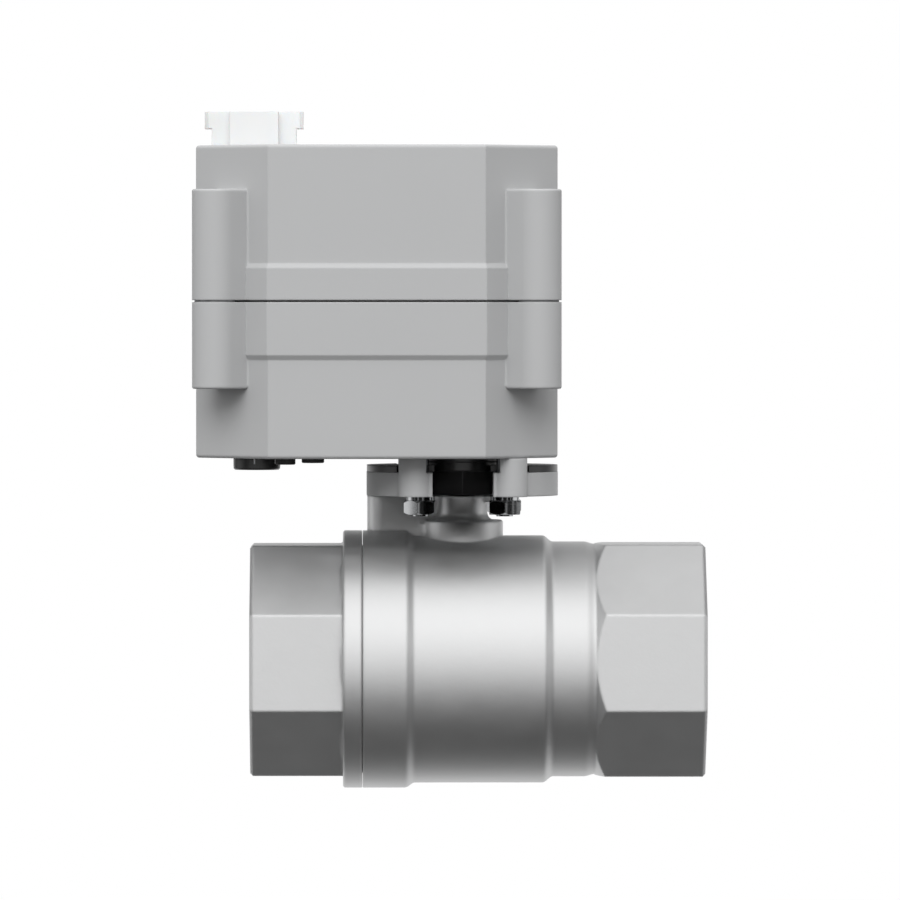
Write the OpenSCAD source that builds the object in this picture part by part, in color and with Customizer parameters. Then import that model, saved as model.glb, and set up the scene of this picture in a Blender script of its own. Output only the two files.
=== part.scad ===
// Motorised ball valve with a one inch threaded port at each end.
// The origin is the middle of the inlet port face. +X is the way of the flow, +Z runs up the stem.

/* [Valve] */
// Length from port face to port face
valve_length = 81; // [79:0.5:88]
// Distance of the stem axis from the inlet port face
stem_x = 37.8; // [37:0.1:39]
// Width across the flats of the body's octagonal end
octagon_flats = 41.3; // [39:0.1:43]
// Width across the flats of the end cap's octagon
cap_flats = 41; // [39:0.1:43]
// Length of the octagon on the end cap
cap_octagon_length = 16.1; // [14:0.1:17]
// Length of the octagon on the body
body_octagon_length = 18.6; // [17.5:0.1:20]
// Chamfer round the outer rims of the octagons
octagon_chamfer = 0.5; // [0.2:0.1:1]
// Length of the cap ring
cap_ring_length = 3.4; // [2.5:0.1:4]
// Length of the body collar
collar_length = 7.5; // [6:0.1:9]
// Radius of the barrel round the ball
barrel_r = 22.1; // [21.3:0.05:22.5]
// Step of the two collars at the joint over the barrel
collar_step = 0.9; // [0.5:0.1:1.5]
// Length of the barrel
barrel_length = 22.7; // [21:0.1:25]
// Radius of the neck before the outlet octagon
outlet_neck_r = 21; // [20.7:0.05:21.2]
// Length of each easing between two radii of the body
easing_length = 1.9; // [1:0.1:2.5]
// Gap between the cap and the body at their joint line
joint_gap = 0.1; // [0.05:0.05:0.3]
// Chamfer on the two edges that meet at that line
joint_chamfer = 0.08; // [0.04:0.02:0.3]

/* [Ports] */
// Radius of the port threads at their crests
port_r = 15.15; // [14.5:0.05:16]
// Depth of each port thread
port_depth = 15; // [12:0.5:16]
// Length of the cone from the thread down to the flow bore
port_step = 1.2; // [0.6:0.1:1.8]
// Radius of the flow bore
flow_r = 11; // [9:0.1:11.5]

/* [Ball and seats] */
// Radius of the ball
ball_r = 17; // [16.6:0.1:17.2]
// Room round the ball inside the barrel
cavity_room = 0.6; // [0.3:0.1:1]
// Gap between the ball and a seat
seat_gap = 0.12; // [0.05:0.01:0.3]
// Outer radius of a seat ring
seat_r = 15.2; // [14.5:0.1:15.8]
// Distance of a seat's back face from the ball centre
seat_back = 14.9; // [14.5:0.1:15.5]
// Length of a seat ring
seat_length = 4.3; // [3.5:0.1:5]
// Radius of the threaded spigot on the end cap
spigot_r = 19; // [18.5:0.1:19.4]
// Length of that spigot
spigot_length = 6.4; // [5:0.1:6.8]
// Width of the body seal across its wall
seal_width = 1.3; // [1:0.1:1.5]
// Thickness of the body seal
seal_thickness = 1.2; // [0.8:0.1:1.6]
// Clearance between parts that are pushed or screwed together
fit_gap = 0.05; // [0.03:0.01:0.12]

/* [Stem] */
// Radius of the stem
stem_r = 3; // [2.8:0.1:3.2]
// Radius of the shoulder that keeps the stem in the body
shoulder_r = 5.4; // [5:0.1:6]
// Thickness of that shoulder
shoulder_thickness = 1.5; // [1.2:0.1:1.8]
// Height of the shoulder's underside above the cavity round the ball
shoulder_drop = 0.1; // [0.05:0.05:0.3]
// Thickness of the thrust washer above the shoulder
thrust_thickness = 1; // [0.6:0.1:1.2]
// Thickness of the tongue that turns the ball
tongue_thickness = 4.9; // [4:0.1:5.5]
// Depth of the tongue's slot in the ball
slot_depth = 3.5; // [2.5:0.1:4.5]
// Width across the flats of the square on the stem's top
stem_square = 4.2; // [3.8:0.1:4.4]
// Clearance of a turning shaft in its hole
turning_gap = 0.04; // [0.02:0.01:0.08]
// Radius of the cord of a stem O-ring
o_ring_cord_r = 0.5; // [0.4:0.05:0.6]

/* [Valve neck] */
// Radius of the round boss on the barrel
boss_r = 7.3; // [7:0.05:8]
// Radius of the rounding on the boss's rim
boss_rim = 0.5; // [0.3:0.1:0.8]
// Height of the top of that boss above the flow axis
boss_top = 24.9; // [24.2:0.1:25.4]
// Radius of the core round the stem
core_r = 4.5; // [4.3:0.1:4.8]
// Radius of the fillet between the core and the boss
core_fillet = 1.3; // [0.8:0.1:1.6]
// Half the thickness of the web, and the radius of its rounded edge towards the inlet
web_half = 2.6; // [2.4:0.1:3]
// Radius of the upright fillets between the web and the boss
web_fillet = 2; // [1.4:0.1:2.4]
// Reach of the web from the stem axis towards the inlet
web_reach = 17; // [14:0.5:17.5]
// Height of the mounting plane above the flow axis
mount_plane = 29.3; // [29:0.1:30]
// Distance of each mounting bolt from the stem axis, along X and along Y
bolt_offset = 7.5; // [7.4:0.1:7.8]
// Thickness of the two mounting ears
ear_thickness = 2.5; // [2:0.1:3]
// Distance of the outer edge of the two mounting ears from the bolts
ear_outer = 2.7; // [2.4:0.1:3]
// Thickness of the arms that join the ears to the core
ear_arm = 1.2; // [0.8:0.1:1.6]
// Distance from a bolt to the end of its ear
ear_end = 3; // [2.6:0.1:3.4]

/* [Yoke] */
// Radius of the yoke's round flange
flange_r = 17.1; // [16.8:0.1:18]
// Thickness of that flange
flange_thickness = 4.25; // [4:0.05:5]
// Width of a yoke pillar
pillar_width = 6; // [5.6:0.1:6.2]
// Distance of a pillar's middle from the stem axis along X
pillar_x = 8.4; // [8.3:0.1:8.8]
// Distance of a pillar's inner end from the stem axis along Y
pillar_inner_y = 4.5; // [4:0.1:5]
// Radius of the fillet between a pillar and the flange rim
pillar_fillet = 1.2; // [0.6:0.1:1.6]
// Height of the gap that the pillars hold open under the actuator
yoke_gap = 2.6; // [2.2:0.05:3]
// Thickness of the black ring on the flange
ring_thickness = 1.2; // [1:0.1:1.8]
// Margin of that ring inside the flange rim
ring_margin = 0.05; // [0.05:0.05:0.6]
// Clearance of that ring round the pillars
ring_clearance = 0.3; // [0.1:0.05:0.4]
// Width of the window in front of the coupling
window_width = 10.8; // [10.7:0.1:11.6]

/* [Coupling] */
// Width across the flats of the coupling's hexagon
coupling_flats = 10.65; // [10.2:0.05:10.7]
// Radius of the coupling's lower collar
coupling_collar_r = 6.25; // [6.2:0.05:6.5]
// Radius of the coupling's upper collar
coupling_top_r = 6.45; // [6.3:0.05:6.6]
// Gap under the coupling and over it
coupling_gap = 0.1; // [0.1:0.05:0.3]
// Width across the flats of the square on the output shaft
shaft_square = 6; // [5.4:0.1:6.4]

/* [Bolts] */
// Radius of the mounting bolts
bolt_r = 1.5; // [1.4:0.05:1.6]
// Clearance round a bolt or screw in its hole
bolt_gap = 0.15; // [0.1:0.05:0.3]
// Height of a mounting nut
nut_height = 2.5; // [2:0.1:2.6]
// Width across the flats of a mounting nut
nut_flats = 5.5; // [5:0.1:5.7]
// Thickness of the spring washers over the nuts
washer_thickness = 0.8; // [0.6:0.05:1]
// Outer radius of those washers
washer_r = 2.62; // [2.5:0.02:2.9]
// Radius of a socket screw's head
head_r = 2.75; // [2.6:0.05:2.9]
// Height of a socket screw's head
head_height = 3; // [2.5:0.1:3.2]

/* [Housing] */
// Room between the first gear's teeth and the wall at the inlet end
end_room = 0.67; // [0.3:0.01:1]
// Reach of the housing from the stem axis towards the outlet
outlet_reach = 16.86; // [16:0.02:18]
// Room between the sector's teeth and the front and back walls
side_room = 1.5; // [1:0.1:3]
// Height of the housing
housing_height = 55.5; // [55:0.1:60]
// How far the corner chamfers run along each side
corner_cut = 12.9; // [10:0.05:12.9]
// Radius of the housing's rounded top and bottom edges
edge_r = 0.6; // [0.3:0.1:1]
// Thickness of the housing's walls
wall = 2.5; // [2:0.1:2.6]
// Thickness of the housing's floor
floor_thickness = 3; // [2.6:0.1:3.2]
// Height of the joint line above the housing's bottom
joint_height = 27.85; // [26.5:0.05:29]
// Width of the gap at the joint line
housing_gap = 0.34; // [0.2:0.02:0.5]
// How far the belt round the joint line stands proud
belt_proud = 0.5; // [0.3:0.1:0.7]
// Height of the belt above the joint line
belt_above = 6.7; // [5:0.1:8]
// Height of the belt below the joint line
belt_below = 10.4; // [9:0.1:12]
// Height of the belt's sloped edges
belt_slope = 0.85; // [0.4:0.05:1.2]
// Radius of the screw pillars on the corners
corner_pillar_r = 4.04; // [3.9:0.02:4.3]
// Distance of those pillars' axes inside the front and the side planes
corner_pillar_inset = 3.49; // [3.4:0.01:3.8]
// Height of the pillars' bottom above the housing's bottom
corner_pillar_bottom = 12.35; // [10:0.05:14]
// Height of the pillars' top above the housing's bottom
corner_pillar_top = 47.65; // [44:0.05:50]
// Radius of the fillet between a pillar and the corner chamfer
corner_fillet = 0.3; // [0.2:0.1:1]
// Radius of the pillars' rounded ends
corner_edge_r = 0.4; // [0.2:0.1:0.8]
// Margin of the lands on which the screw pillars meet, inside the pillars' radius
land_margin = 0.45; // [0.2:0.05:0.8]
// Width of the housing gasket
gasket_width = 1; // [0.6:0.1:1.2]
// Depth of the gasket's groove
gasket_depth = 1; // [0.6:0.1:1.5]

/* [Gears] */
// Pressure angle of all the gears
pressure_angle = 25; // [25:0.5:27]
// Thinning of every tooth, as a share of its module
tooth_thinning = 0.06; // [0.05:0.01:0.1]
// Module of the sector and the pinion that turns it
sector_module = 0.8; // [0.79:0.01:0.82]
// Teeth of the sector's full circle
sector_teeth = 43; // [42:1:43]
// Teeth that are cut on the sector
sector_cut_teeth = 14; // [14:1:15]
// Teeth of every pinion
pinion_teeth = 12; // [12:1:13]
// Module of the second gear's wheel and the pinion that turns it
second_module = 0.6; // [0.58:0.01:0.61]
// Teeth of the second gear's wheel
second_teeth = 37; // [35:1:37]
// Module of the first gear's wheel and the motor pinion
first_module = 0.5; // [0.48:0.01:0.51]
// Teeth of the first gear's wheel
first_teeth = 28; // [26:1:28]
// Direction from the first gear to the motor, from +X
motor_turn = 30; // [28:1:34]
// Thickness of the sector
sector_thickness = 5; // [4:0.1:5.2]
// Thickness of the second gear's wheel
second_thickness = 3; // [2.5:0.1:3.4]
// Thickness of the first gear's wheel
first_thickness = 2.5; // [2:0.1:2.8]
// Gap between gears that lie over each other
layer_gap = 0.6; // [0.4:0.05:0.8]
// Radius of the second gear's arbor
arbor_r = 1.5; // [1.3:0.05:1.6]
// Radius of the manual shaft under the first gear
manual_shaft_r = 1.75; // [1.6:0.05:1.85]
// Radius of the output shaft in its lower bush
output_r = 4; // [3.9:0.05:4.2]
// Radius of the output shaft in its upper bush
output_top_r = 3; // [2.8:0.05:3.1]
// Height of the lower bush's seat above the housing's floor
bush_rise = 1.8; // [1.4:0.1:2]
// Wall of the output shaft's bushes
bush_wall = 1; // [0.8:0.05:1.2]
// Width across the flats of the gear plate's posts
post_flats = 5; // [4.6:0.1:5.2]
// Room round the gear plate's posts
post_room = 1.4; // [1:0.1:2]
// Wall of the hubs on the output shaft
hub_wall = 2.6; // [2:0.1:3]
// Room between the first gear and the gear plate
plate_lift = 2.4; // [2:0.1:3]
// Thickness of the gear plate
plate_thickness = 1.5; // [1.2:0.1:2]
// Room between the gear plate and the housing's walls
plate_room = 0.5; // [0.3:0.1:0.7]

/* [Motor and switches] */
// Radius of the motor's gearhead
gearhead_r = 12; // [11.5:0.1:12.2]
// Height of the gearhead
gearhead_height = 9.5; // [8:0.1:10]
// Radius of the motor can
motor_r = 11.8; // [11:0.1:11.9]
// Height of the motor can
motor_height = 13; // [11:0.1:13.5]
// Distance of the gearhead's screws from its axis
motor_screw_circle = 8.5; // [8:0.1:9]
// Turn of those two screws about its axis
motor_screw_turn = 75; // [70:1:85]
// Radius of the motor's rear boss
motor_boss_r = 3; // [2:0.1:3.5]
// Radius of the motor's vent holes
motor_vent_r = 1.6; // [1:0.1:1.8]
// Radius of the motor shaft
motor_shaft_r = 1.5; // [1.4:0.05:1.55]
// Radius of the cam where it holds a switch button pressed
cam_r = 10.2; // [9.8:0.1:10.3]
// Height of the cam above the gear plate
cam_lift = 2.5; // [2.3:0.1:3]
// Thickness of the cam
cam_thickness = 4; // [3:0.1:4.4]
// Gap between the cam and a switch button
button_gap = 0.15; // [0.1:0.05:0.3]
// Travel of a switch button, and so the fall of the cam's two ramps
button_travel = 1; // [0.6:0.1:1.2]
// How far a pressed button stands out of its switch
button_show = 0.6; // [0.4:0.1:1]
// Length of a switch button
button_length = 2.4; // [2.3:0.1:2.8]
// Width of a switch button
button_width = 2; // [1.6:0.1:2.2]
// Distance of a button from the outlet end of its switch
button_inset = 3.6; // [3:0.1:4.5]
// Distance between a switch's two screw holes
switch_hole_pitch = 6.4; // [6:0.1:6.6]
// Radius of a switch's screw holes
switch_hole_r = 1; // [0.8:0.1:1.1]
// Length of a switch body
switch_length = 12.8; // [12:0.1:13]
// Height of a switch body across its button
switch_height = 6.5; // [6:0.1:6.6]
// Thickness of a switch body
switch_thickness = 5.8; // [5:0.1:6]

/* [Electronics] */
// Clearance between the motor and the circuit board over it
board_clearance = 2.95; // [2.45:0.05:3.3]
// Thickness of the circuit board
board_thickness = 1.6; // [1.2:0.1:1.7]
// Height of the relay under the board
relay_height = 10; // [8:0.5:12]
// Length of the relay
relay_length = 15.4; // [13:0.1:16]
// Width of the relay
relay_width = 10.4; // [9:0.1:11]
// Distance of the board's screws inside the walls
boss_inset = 4.5; // [4:0.1:6]
// Radius of the bosses that the board hangs from
boss_wall_r = 2.6; // [2.2:0.1:3]
// Distance of the power socket's middle from the housing's inlet end
socket_inset = 10.25; // [10.1:0.05:12]
// Width of the power socket's neck
socket_width = 15.07; // [14.6:0.01:16]
// Width of the power socket's rim
socket_rim_width = 17.56; // [17:0.02:18]
// Depth of the power socket from front to back
socket_depth = 9.8; // [9.2:0.1:11]
// Height of the power socket above the housing
socket_height = 6.05; // [5.6:0.05:7]
// Height of the power socket's rim
socket_rim_height = 3; // [2.5:0.1:3.5]
// Chamfer on the rim's upright edges
rim_cut = 0.65; // [0.3:0.05:0.9]
// Width of the key block on the socket's front
key_width = 8.67; // [8:0.01:9.5]
// How far the key block stands forward
key_proud = 1.4; // [1:0.1:2]
// Depth of the power socket's hollow
socket_hollow = 7.8; // [7:0.1:8]
// How far the pins stand up in the hollow
pin_show = 3.4; // [3:0.1:4]
// Width of the slot in the key block
key_slot = 5.66; // [5:0.02:6]
// Wall of the power socket
socket_wall = 1.1; // [0.9:0.1:1.3]
// Pins in the power socket
pin_count = 5; // [3:1:5]
// Distance between two pins
pin_pitch = 2.5; // [2:0.1:2.54]
// Width of a pin
pin_width = 0.8; // [0.6:0.05:1]

/* [Underside] */
// Radius of the manual knob
knob_r = 4.2; // [3.8:0.05:4.4]
// Height of the manual knob
knob_height = 2.2; // [2:0.1:2.6]
// Width of the screwdriver slot in the knob
knob_slot = 1.2; // [0.8:0.1:1.6]
// Radius of the smaller blanking plug
small_plug_r = 1.77; // [1.4:0.01:2]
// Radius of the larger blanking plug
large_plug_r = 2; // [1.8:0.05:2.4]
// Height of the smaller blanking plug's head
small_plug_height = 1.25; // [0.8:0.05:1.5]
// Height of the larger blanking plug's head
large_plug_height = 0.95; // [0.5:0.05:1.2]
// Distance between the two plugs
plug_room = 1.1; // [0.8:0.1:2]
// Distance of the smaller plug from the knob, along X
plug_offset = 5.2; // [4.5:0.05:6]
// Distance of the plugs in front of the stem axis
plug_y = 8; // [6:0.5:10]

/* [Small screws] */
// Radius of the small screws in the gearhead and the circuit board
screw_r = 1.2; // [1:0.05:1.25]
// Radius of their heads
screw_head_r = 2.3; // [2:0.1:2.5]
// Height of their heads
screw_head_height = 1.4; // [1:0.1:1.6]
// Radius of the heads on the gear plate's screws
plate_head_r = 2.7; // [2.4:0.1:2.8]
// Height of the heads on the gear plate's screws
plate_head_height = 2; // [1.6:0.1:2.2]

/* [Hidden] */
$fn = 64;

// Radius of the collars at the joint between the end cap and the body
collar_r = barrel_r + collar_step;

// Places along the flow axis
cap_ring_start = cap_octagon_length + 0.4;
cap_end = cap_ring_start + cap_ring_length;
body_start = cap_end + joint_gap;
collar_end = body_start + collar_length;
barrel_start = collar_end + easing_length;
barrel_end = barrel_start + barrel_length;
outlet_neck_start = barrel_end + easing_length;
body_octagon_start = valve_length - body_octagon_length;
octagon_corner_r = octagon_flats / 2 / cos(22.5);
cavity_r = ball_r + cavity_room;
spigot_end = cap_end + spigot_length;
shoulder_top = cavity_r + shoulder_thickness + shoulder_drop;
ear_inner = window_width / 2 + fit_gap;
tongue_width = 2 * sqrt(pow(shoulder_r, 2) - pow(tongue_thickness / 2, 2)) - 2 * fit_gap;
rim_chamfer = 0.3;
trim_start = body_octagon_start - 1;
trim_r = octagon_flats / 2 - 0.05;

// Heights above the flow axis
flange_top = mount_plane + flange_thickness;
housing_bottom = flange_top + yoke_gap;
housing_top = housing_bottom + housing_height;
floor_top = housing_bottom + floor_thickness;
joint_z = housing_bottom + joint_height;
ceiling = housing_top - wall;
coupling_bottom = mount_plane + coupling_gap;
coupling_top = housing_bottom - coupling_gap;
coupling_step = 0.8;
coupling_middle = (mount_plane + housing_bottom) / 2;
nut_top = mount_plane - washer_thickness;
nut_bottom = nut_top - nut_height;
bolt_head_top = floor_top + head_height;

// Heights of the gear layers
sector_z = bolt_head_top + layer_gap;
second_z = sector_z + sector_thickness + layer_gap;
first_z = second_z + second_thickness + layer_gap;
plate_z = first_z + first_thickness + plate_lift;
plate_top = plate_z + plate_thickness;
cam_z = plate_top + cam_lift;
motor_z = plate_top + gearhead_height;
board_z = motor_z + motor_height + board_clearance;
board_top = board_z + board_thickness;

// Places in plan, from the stem axis, and the turns at which the teeth mesh
function turned(distance, angle) = [distance * cos(angle), distance * sin(angle)];
function mesh_distance(teeth, gear_module) = (teeth + pinion_teeth) * gear_module / 2;
function mesh_phase(line, driver_phase, driver_teeth, driven_teeth) =
    line + 180 + 180 / driven_teeth - (driver_phase - line) * driver_teeth / driven_teeth;
train_line = 180;
second_at = [stem_x, 0] + turned(mesh_distance(sector_teeth, sector_module), train_line);
first_at = second_at + turned(mesh_distance(second_teeth, second_module), train_line);
motor_at = first_at + turned(mesh_distance(first_teeth, first_module), motor_turn);
sector_middle = train_line + 45;
sector_phase = sector_middle + (sector_cut_teeth % 2 == 0 ? 180 / sector_teeth : 0);
second_pinion_phase = mesh_phase(train_line, sector_phase, sector_teeth, pinion_teeth);
first_pinion_phase = mesh_phase(train_line, 0, second_teeth, pinion_teeth);
motor_pinion_phase = mesh_phase(motor_turn, 0, first_teeth, pinion_teeth);

// Sizes of the housing, which follow from what it holds
sector_tip = (sector_teeth / 2 + 1) * sector_module;
second_pinion_tip = (pinion_teeth / 2 + 1) * sector_module;
first_tip = (first_teeth / 2 + 1) * first_module;
switch_y = cam_r + button_gap + button_show;
inner_y = max(switch_y + switch_height, sector_tip) + side_room;
housing_left = first_at[0] - first_tip - end_room - wall;
housing_right = stem_x + outlet_reach;
housing_width = housing_right - housing_left;
housing_depth = 2 * (inner_y + wall);
housing_x = (housing_left + housing_right) / 2;
corner_plane = (housing_width / 2 + housing_depth / 2 - corner_cut) / sqrt(2);
corner_pillar_x = housing_width / 2 - corner_pillar_inset;
corner_pillar_y = housing_depth / 2 - corner_pillar_inset;
pillar_reach = (corner_pillar_x + corner_pillar_y) / sqrt(2) - corner_plane;

// Places in the housing
inner_cut = corner_cut + wall * sqrt(2);
post_y = inner_y - post_flats / 2 - post_room;
post_places = [[housing_left + inner_cut + post_flats - wall - post_room, -post_y],
    [second_at[0] + second_pinion_tip + post_room, post_y],
    [(stem_x + output_r + hub_wall + housing_right - wall) / 2, 0]];
board_screw_places = [[second_at[0], inner_y - boss_inset], [second_at[0], -inner_y + boss_inset],
    [housing_right - wall - boss_inset, inner_y / 3], [housing_right - wall - boss_inset, -inner_y / 3]];
motor_screw_places = [motor_at + turned(motor_screw_circle, motor_screw_turn),
    motor_at + turned(motor_screw_circle, motor_screw_turn + 180)];
switch_middle_x = stem_x - switch_length / 2 + button_inset;
relay_x = stem_x - 0.7 * relay_length;
socket_x = housing_left + socket_inset;
socket_top = housing_top + socket_height;
socket_floor = socket_top - socket_hollow;
pin_top = socket_floor + pin_show;
small_plug_at = [first_at[0] + plug_offset, -plug_y];
large_plug_at = [small_plug_at[0] + small_plug_r + large_plug_r + plug_room, -plug_y];

// Small helpers
module place(at, z) {
    translate([at[0], at[1], z]) children();
}
module at_stem(z) {
    translate([stem_x, 0, z]) children();
}
module tube(r, hole, height) {
    difference() {
        cylinder(r = r, h = height);
        translate([0, 0, -1]) cylinder(r = hole, h = height + 2);
    }
}
module about_flow() {
    rotate([0, 90, 0]) rotate_extrude($fn = 96) children();
}
module flow_ring(inner, outer, from, to) {
    about_flow() translate([inner, from]) square([outer - inner, to - from]);
}
module flow_bore(r, from, to) {
    translate([from, 0, 0]) rotate([0, 90, 0]) cylinder(r = r, h = to - from, $fn = 96);
}
module square_bar(flats, height) {
    translate([-flats / 2, -flats / 2, 0]) cube([flats, flats, height]);
}
module hexagon(flats, height, turn) {
    rotate([0, 0, turn]) cylinder(r = flats / 2 / cos(30), h = height, $fn = 6);
}
module chamfered_disc(r, height, chamfer) {
    rotate_extrude() polygon([[0, 0], [r - chamfer, 0], [r, chamfer], [r, height - chamfer],
        [r - chamfer, height], [0, height]]);
}
module four_corners(x, y) {
    for (side = [-1, 1], end = [-1, 1]) translate([side * x, end * y, 0]) children();
}

// Valve

// Points that ease a revolved profile from one radius to the next
function easing(from, r_from, to, r_to) = [for (i = [0:8])
    [r_from + (r_to - r_from) * (1 - cos(180 * i / 8)) / 2, from + (to - from) * i / 8]];

// An octagonal bar along the flow, with its outer rim chamfered at the start, the end or both
module octagon_bar(flats, from, to, start_chamfer, end_chamfer) {
    half = flats / 2;
    long = flats;
    outline = [[from, start_chamfer - half], [from + start_chamfer, -half], [to - end_chamfer, -half],
        [to, end_chamfer - half], [to, half - end_chamfer], [to - end_chamfer, half],
        [from + start_chamfer, half], [from, half - start_chamfer]];
    intersection() {
        translate([0, 0, -long]) linear_extrude(2 * long) polygon(outline);
        rotate([45, 0, 0]) translate([0, 0, -long]) linear_extrude(2 * long) polygon(outline);
        rotate([90, 0, 0]) translate([0, 0, -long]) linear_extrude(2 * long) polygon(outline);
        rotate([135, 0, 0]) translate([0, 0, -long]) linear_extrude(2 * long) polygon(outline);
    }
}

// The cone that trims an octagon's corners where it meets a round neck
module corner_trim(from, to, start_r) {
    top = octagon_corner_r + 1;
    about_flow() polygon([[0, from], [start_r, from], [top, from + top - start_r], [top, to + 1],
        [0, to + 1]]);
}

// A port's thread bore, with a cone down to the flow bore behind it
module port_bore(face, inward) {
    end = face + inward * port_depth;
    flow_bore(port_r, min(face, end), max(face, end));
    flow_bore(port_r, min(face, face - inward), max(face, face - inward));
    about_flow() polygon([[0, end], [port_r, end], [flow_r, end + inward * port_step],
        [0, end + inward * port_step]]);
}

// The boss, the core and the fillet between them as one turned form
module neck_turned() {
    foot = cavity_r - 4;
    rotate_extrude() polygon(concat([[0, foot], [boss_r, foot]],
        [for (i = [0:6]) [boss_r - boss_rim * (1 - cos(15 * i)), boss_top - boss_rim * (1 - sin(15 * i))]],
        [for (i = [0:6]) [core_r + core_fillet * (1 - sin(15 * i)),
            boss_top + core_fillet * (1 - cos(15 * i))]],
        [[core_r, mount_plane], [0, mount_plane]]));
}

// Plan of the two concave fillets between the web and a round of the neck, cut off where they thin out
module web_fillet_plan(r, fillet) {
    middle = [-sqrt(pow(r + fillet, 2) - pow(web_half + fillet, 2)), web_half + fillet];
    touch = turned(r, atan2(middle[1], middle[0]) + 2.5);
    inside = middle + 1.25 * (touch - middle);
    for (side = [0, 1]) mirror([0, side]) difference() {
        polygon([middle, inside, [inside[0] + 0.3, web_half - 0.6],
            [middle[0] + 0.2 * fillet, web_half - 0.3]]);
        translate(middle) circle(r = fillet);
    }
}

// The web from the neck towards the inlet, with a full round on its edge
module neck_web() {
    foot = cavity_r - 4;
    translate([0, 0, foot]) linear_extrude(mount_plane - foot) {
        translate([web_half - web_reach, -web_half]) square([web_reach - web_half, 2 * web_half]);
        translate([web_half - web_reach, 0]) circle(r = web_half);
    }
    translate([0, 0, foot]) linear_extrude(boss_top - boss_rim - 0.1 - foot)
        web_fillet_plan(boss_r, web_fillet);
    translate([0, 0, foot]) linear_extrude(mount_plane - foot) web_fillet_plan(core_r, core_fillet);
}

// Plan of one mounting ear with its two bolt holes, grown by a clearance where it is cut from the yoke
module ear_plan(grow) {
    reach = bolt_offset + ear_end + grow;
    difference() {
        translate([ear_inner - grow, -reach])
            square([bolt_offset + ear_outer - ear_inner + 2 * grow, 2 * reach]);
        circle(r = coupling_top_r + 0.15 - grow);
    }
}

module ears(grow, height) {
    for (turn = [0, 180]) rotate([0, 0, turn]) linear_extrude(height) ear_plan(grow);
}

// Two arms under the mounting plane, which carry the ears
module ear_arms() {
    half = web_half - 0.1;
    reach = bolt_offset + ear_outer;
    translate([-reach, -half, 0]) cube([2 * reach, 2 * half, ear_arm]);
    intersection() {
        ears(0, ear_arm + ear_thickness);
        translate([-reach - 1, -half, 0]) cube([2 * reach + 2, 2 * half, ear_arm + ear_thickness]);
    }
}

module stem_bores() {
    cylinder(r = shoulder_r + fit_gap, h = shoulder_top + thrust_thickness);
    cylinder(r = stem_r + turning_gap, h = mount_plane + ear_thickness + 1);
}

module valve_body() color("#8f8d88") {
    outline = concat([[0, body_start], [collar_r - joint_chamfer, body_start],
        [collar_r, body_start + joint_chamfer]],
        easing(collar_end, collar_r, barrel_start, barrel_r),
        easing(barrel_end, barrel_r, outlet_neck_start, outlet_neck_r),
        easing(trim_start - easing_length, outlet_neck_r, trim_start, trim_r),
        [[trim_r, body_octagon_start + 1], [0, body_octagon_start + 1]]);
    difference() {
        union() {
            about_flow() polygon(outline);
            intersection() {
                octagon_bar(octagon_flats, body_octagon_start - 1.5, valve_length, 0, octagon_chamfer);
                corner_trim(trim_start - fit_gap, valve_length, trim_r - fit_gap);
            }
            at_stem(0) neck_turned();
            at_stem(0) neck_web();
            at_stem(mount_plane) ears(0, ear_thickness);
            at_stem(mount_plane - ear_arm) ear_arms();
        }
        flow_bore(cavity_r, spigot_end - 0.4, stem_x + seat_back - seat_length - 0.3);
        flow_bore(spigot_r + fit_gap, body_start - 1, spigot_end + 0.4);
        flow_bore(spigot_r + seal_width + fit_gap, body_start - 1, cap_end + seal_thickness + fit_gap);
        flow_bore(seat_r + fit_gap, stem_x + seat_back - seat_length - 1, stem_x + seat_back + fit_gap);
        flow_bore(flow_r, stem_x, valve_length - port_depth);
        port_bore(valve_length, -1);
        at_stem(0) stem_bores();
        at_stem(mount_plane - 2) four_corners(bolt_offset, bolt_offset)
            cylinder(r = bolt_r + bolt_gap, h = ear_thickness + 3);
    }
}

module end_cap() color("#9a9893") {
    difference() {
        union() {
            octagon_bar(cap_flats, 0, cap_ring_start + 0.5, octagon_chamfer, 0);
            about_flow() polygon([[0, cap_octagon_length - 0.2],
                [cap_flats / 2 + 0.2, cap_octagon_length],
                [cap_flats / 2 + 0.5, cap_ring_start], [collar_r - rim_chamfer, cap_ring_start],
                [collar_r, cap_ring_start + rim_chamfer], [collar_r, cap_end - joint_chamfer],
                [collar_r - joint_chamfer, cap_end], [spigot_r, cap_end], [spigot_r, spigot_end - 0.5],
                [spigot_r - 0.5, spigot_end], [0, spigot_end]]);
        }
        port_bore(0, 1);
        flow_bore(flow_r, port_depth, stem_x);
        flow_bore(seat_r + fit_gap, stem_x - seat_back - fit_gap, stem_x);
    }
}

module body_seal() color("#e9e9e4")
    flow_ring(spigot_r + fit_gap, spigot_r + seal_width, cap_end + 0.01, cap_end + seal_thickness);

module ball() color("#c9ccce") {
    difference() {
        at_stem(0) sphere(r = ball_r, $fn = 96);
        flow_bore(flow_r, stem_x - ball_r - 1, stem_x + ball_r + 1);
        at_stem(ball_r - slot_depth) translate([-tongue_thickness / 2 - fit_gap, -ball_r, 0])
            cube([tongue_thickness + 2 * fit_gap, 2 * ball_r, slot_depth + 1]);
    }
}

module seat(side) {
    near = stem_x + side * (seat_back - seat_length);
    far = stem_x + side * seat_back;
    difference() {
        flow_ring(flow_r + 0.4, seat_r, min(near, far), max(near, far));
        at_stem(0) sphere(r = ball_r + seat_gap, $fn = 96);
    }
}
module inlet_seat() color("#f2f2ee") seat(-1);
module outlet_seat() color("#f2f2ee") seat(1);

o_ring_heights = [boss_top - 2.2, boss_top + 1.2];
o_ring_r = stem_r + turning_gap - 0.03 - o_ring_cord_r;

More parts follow.
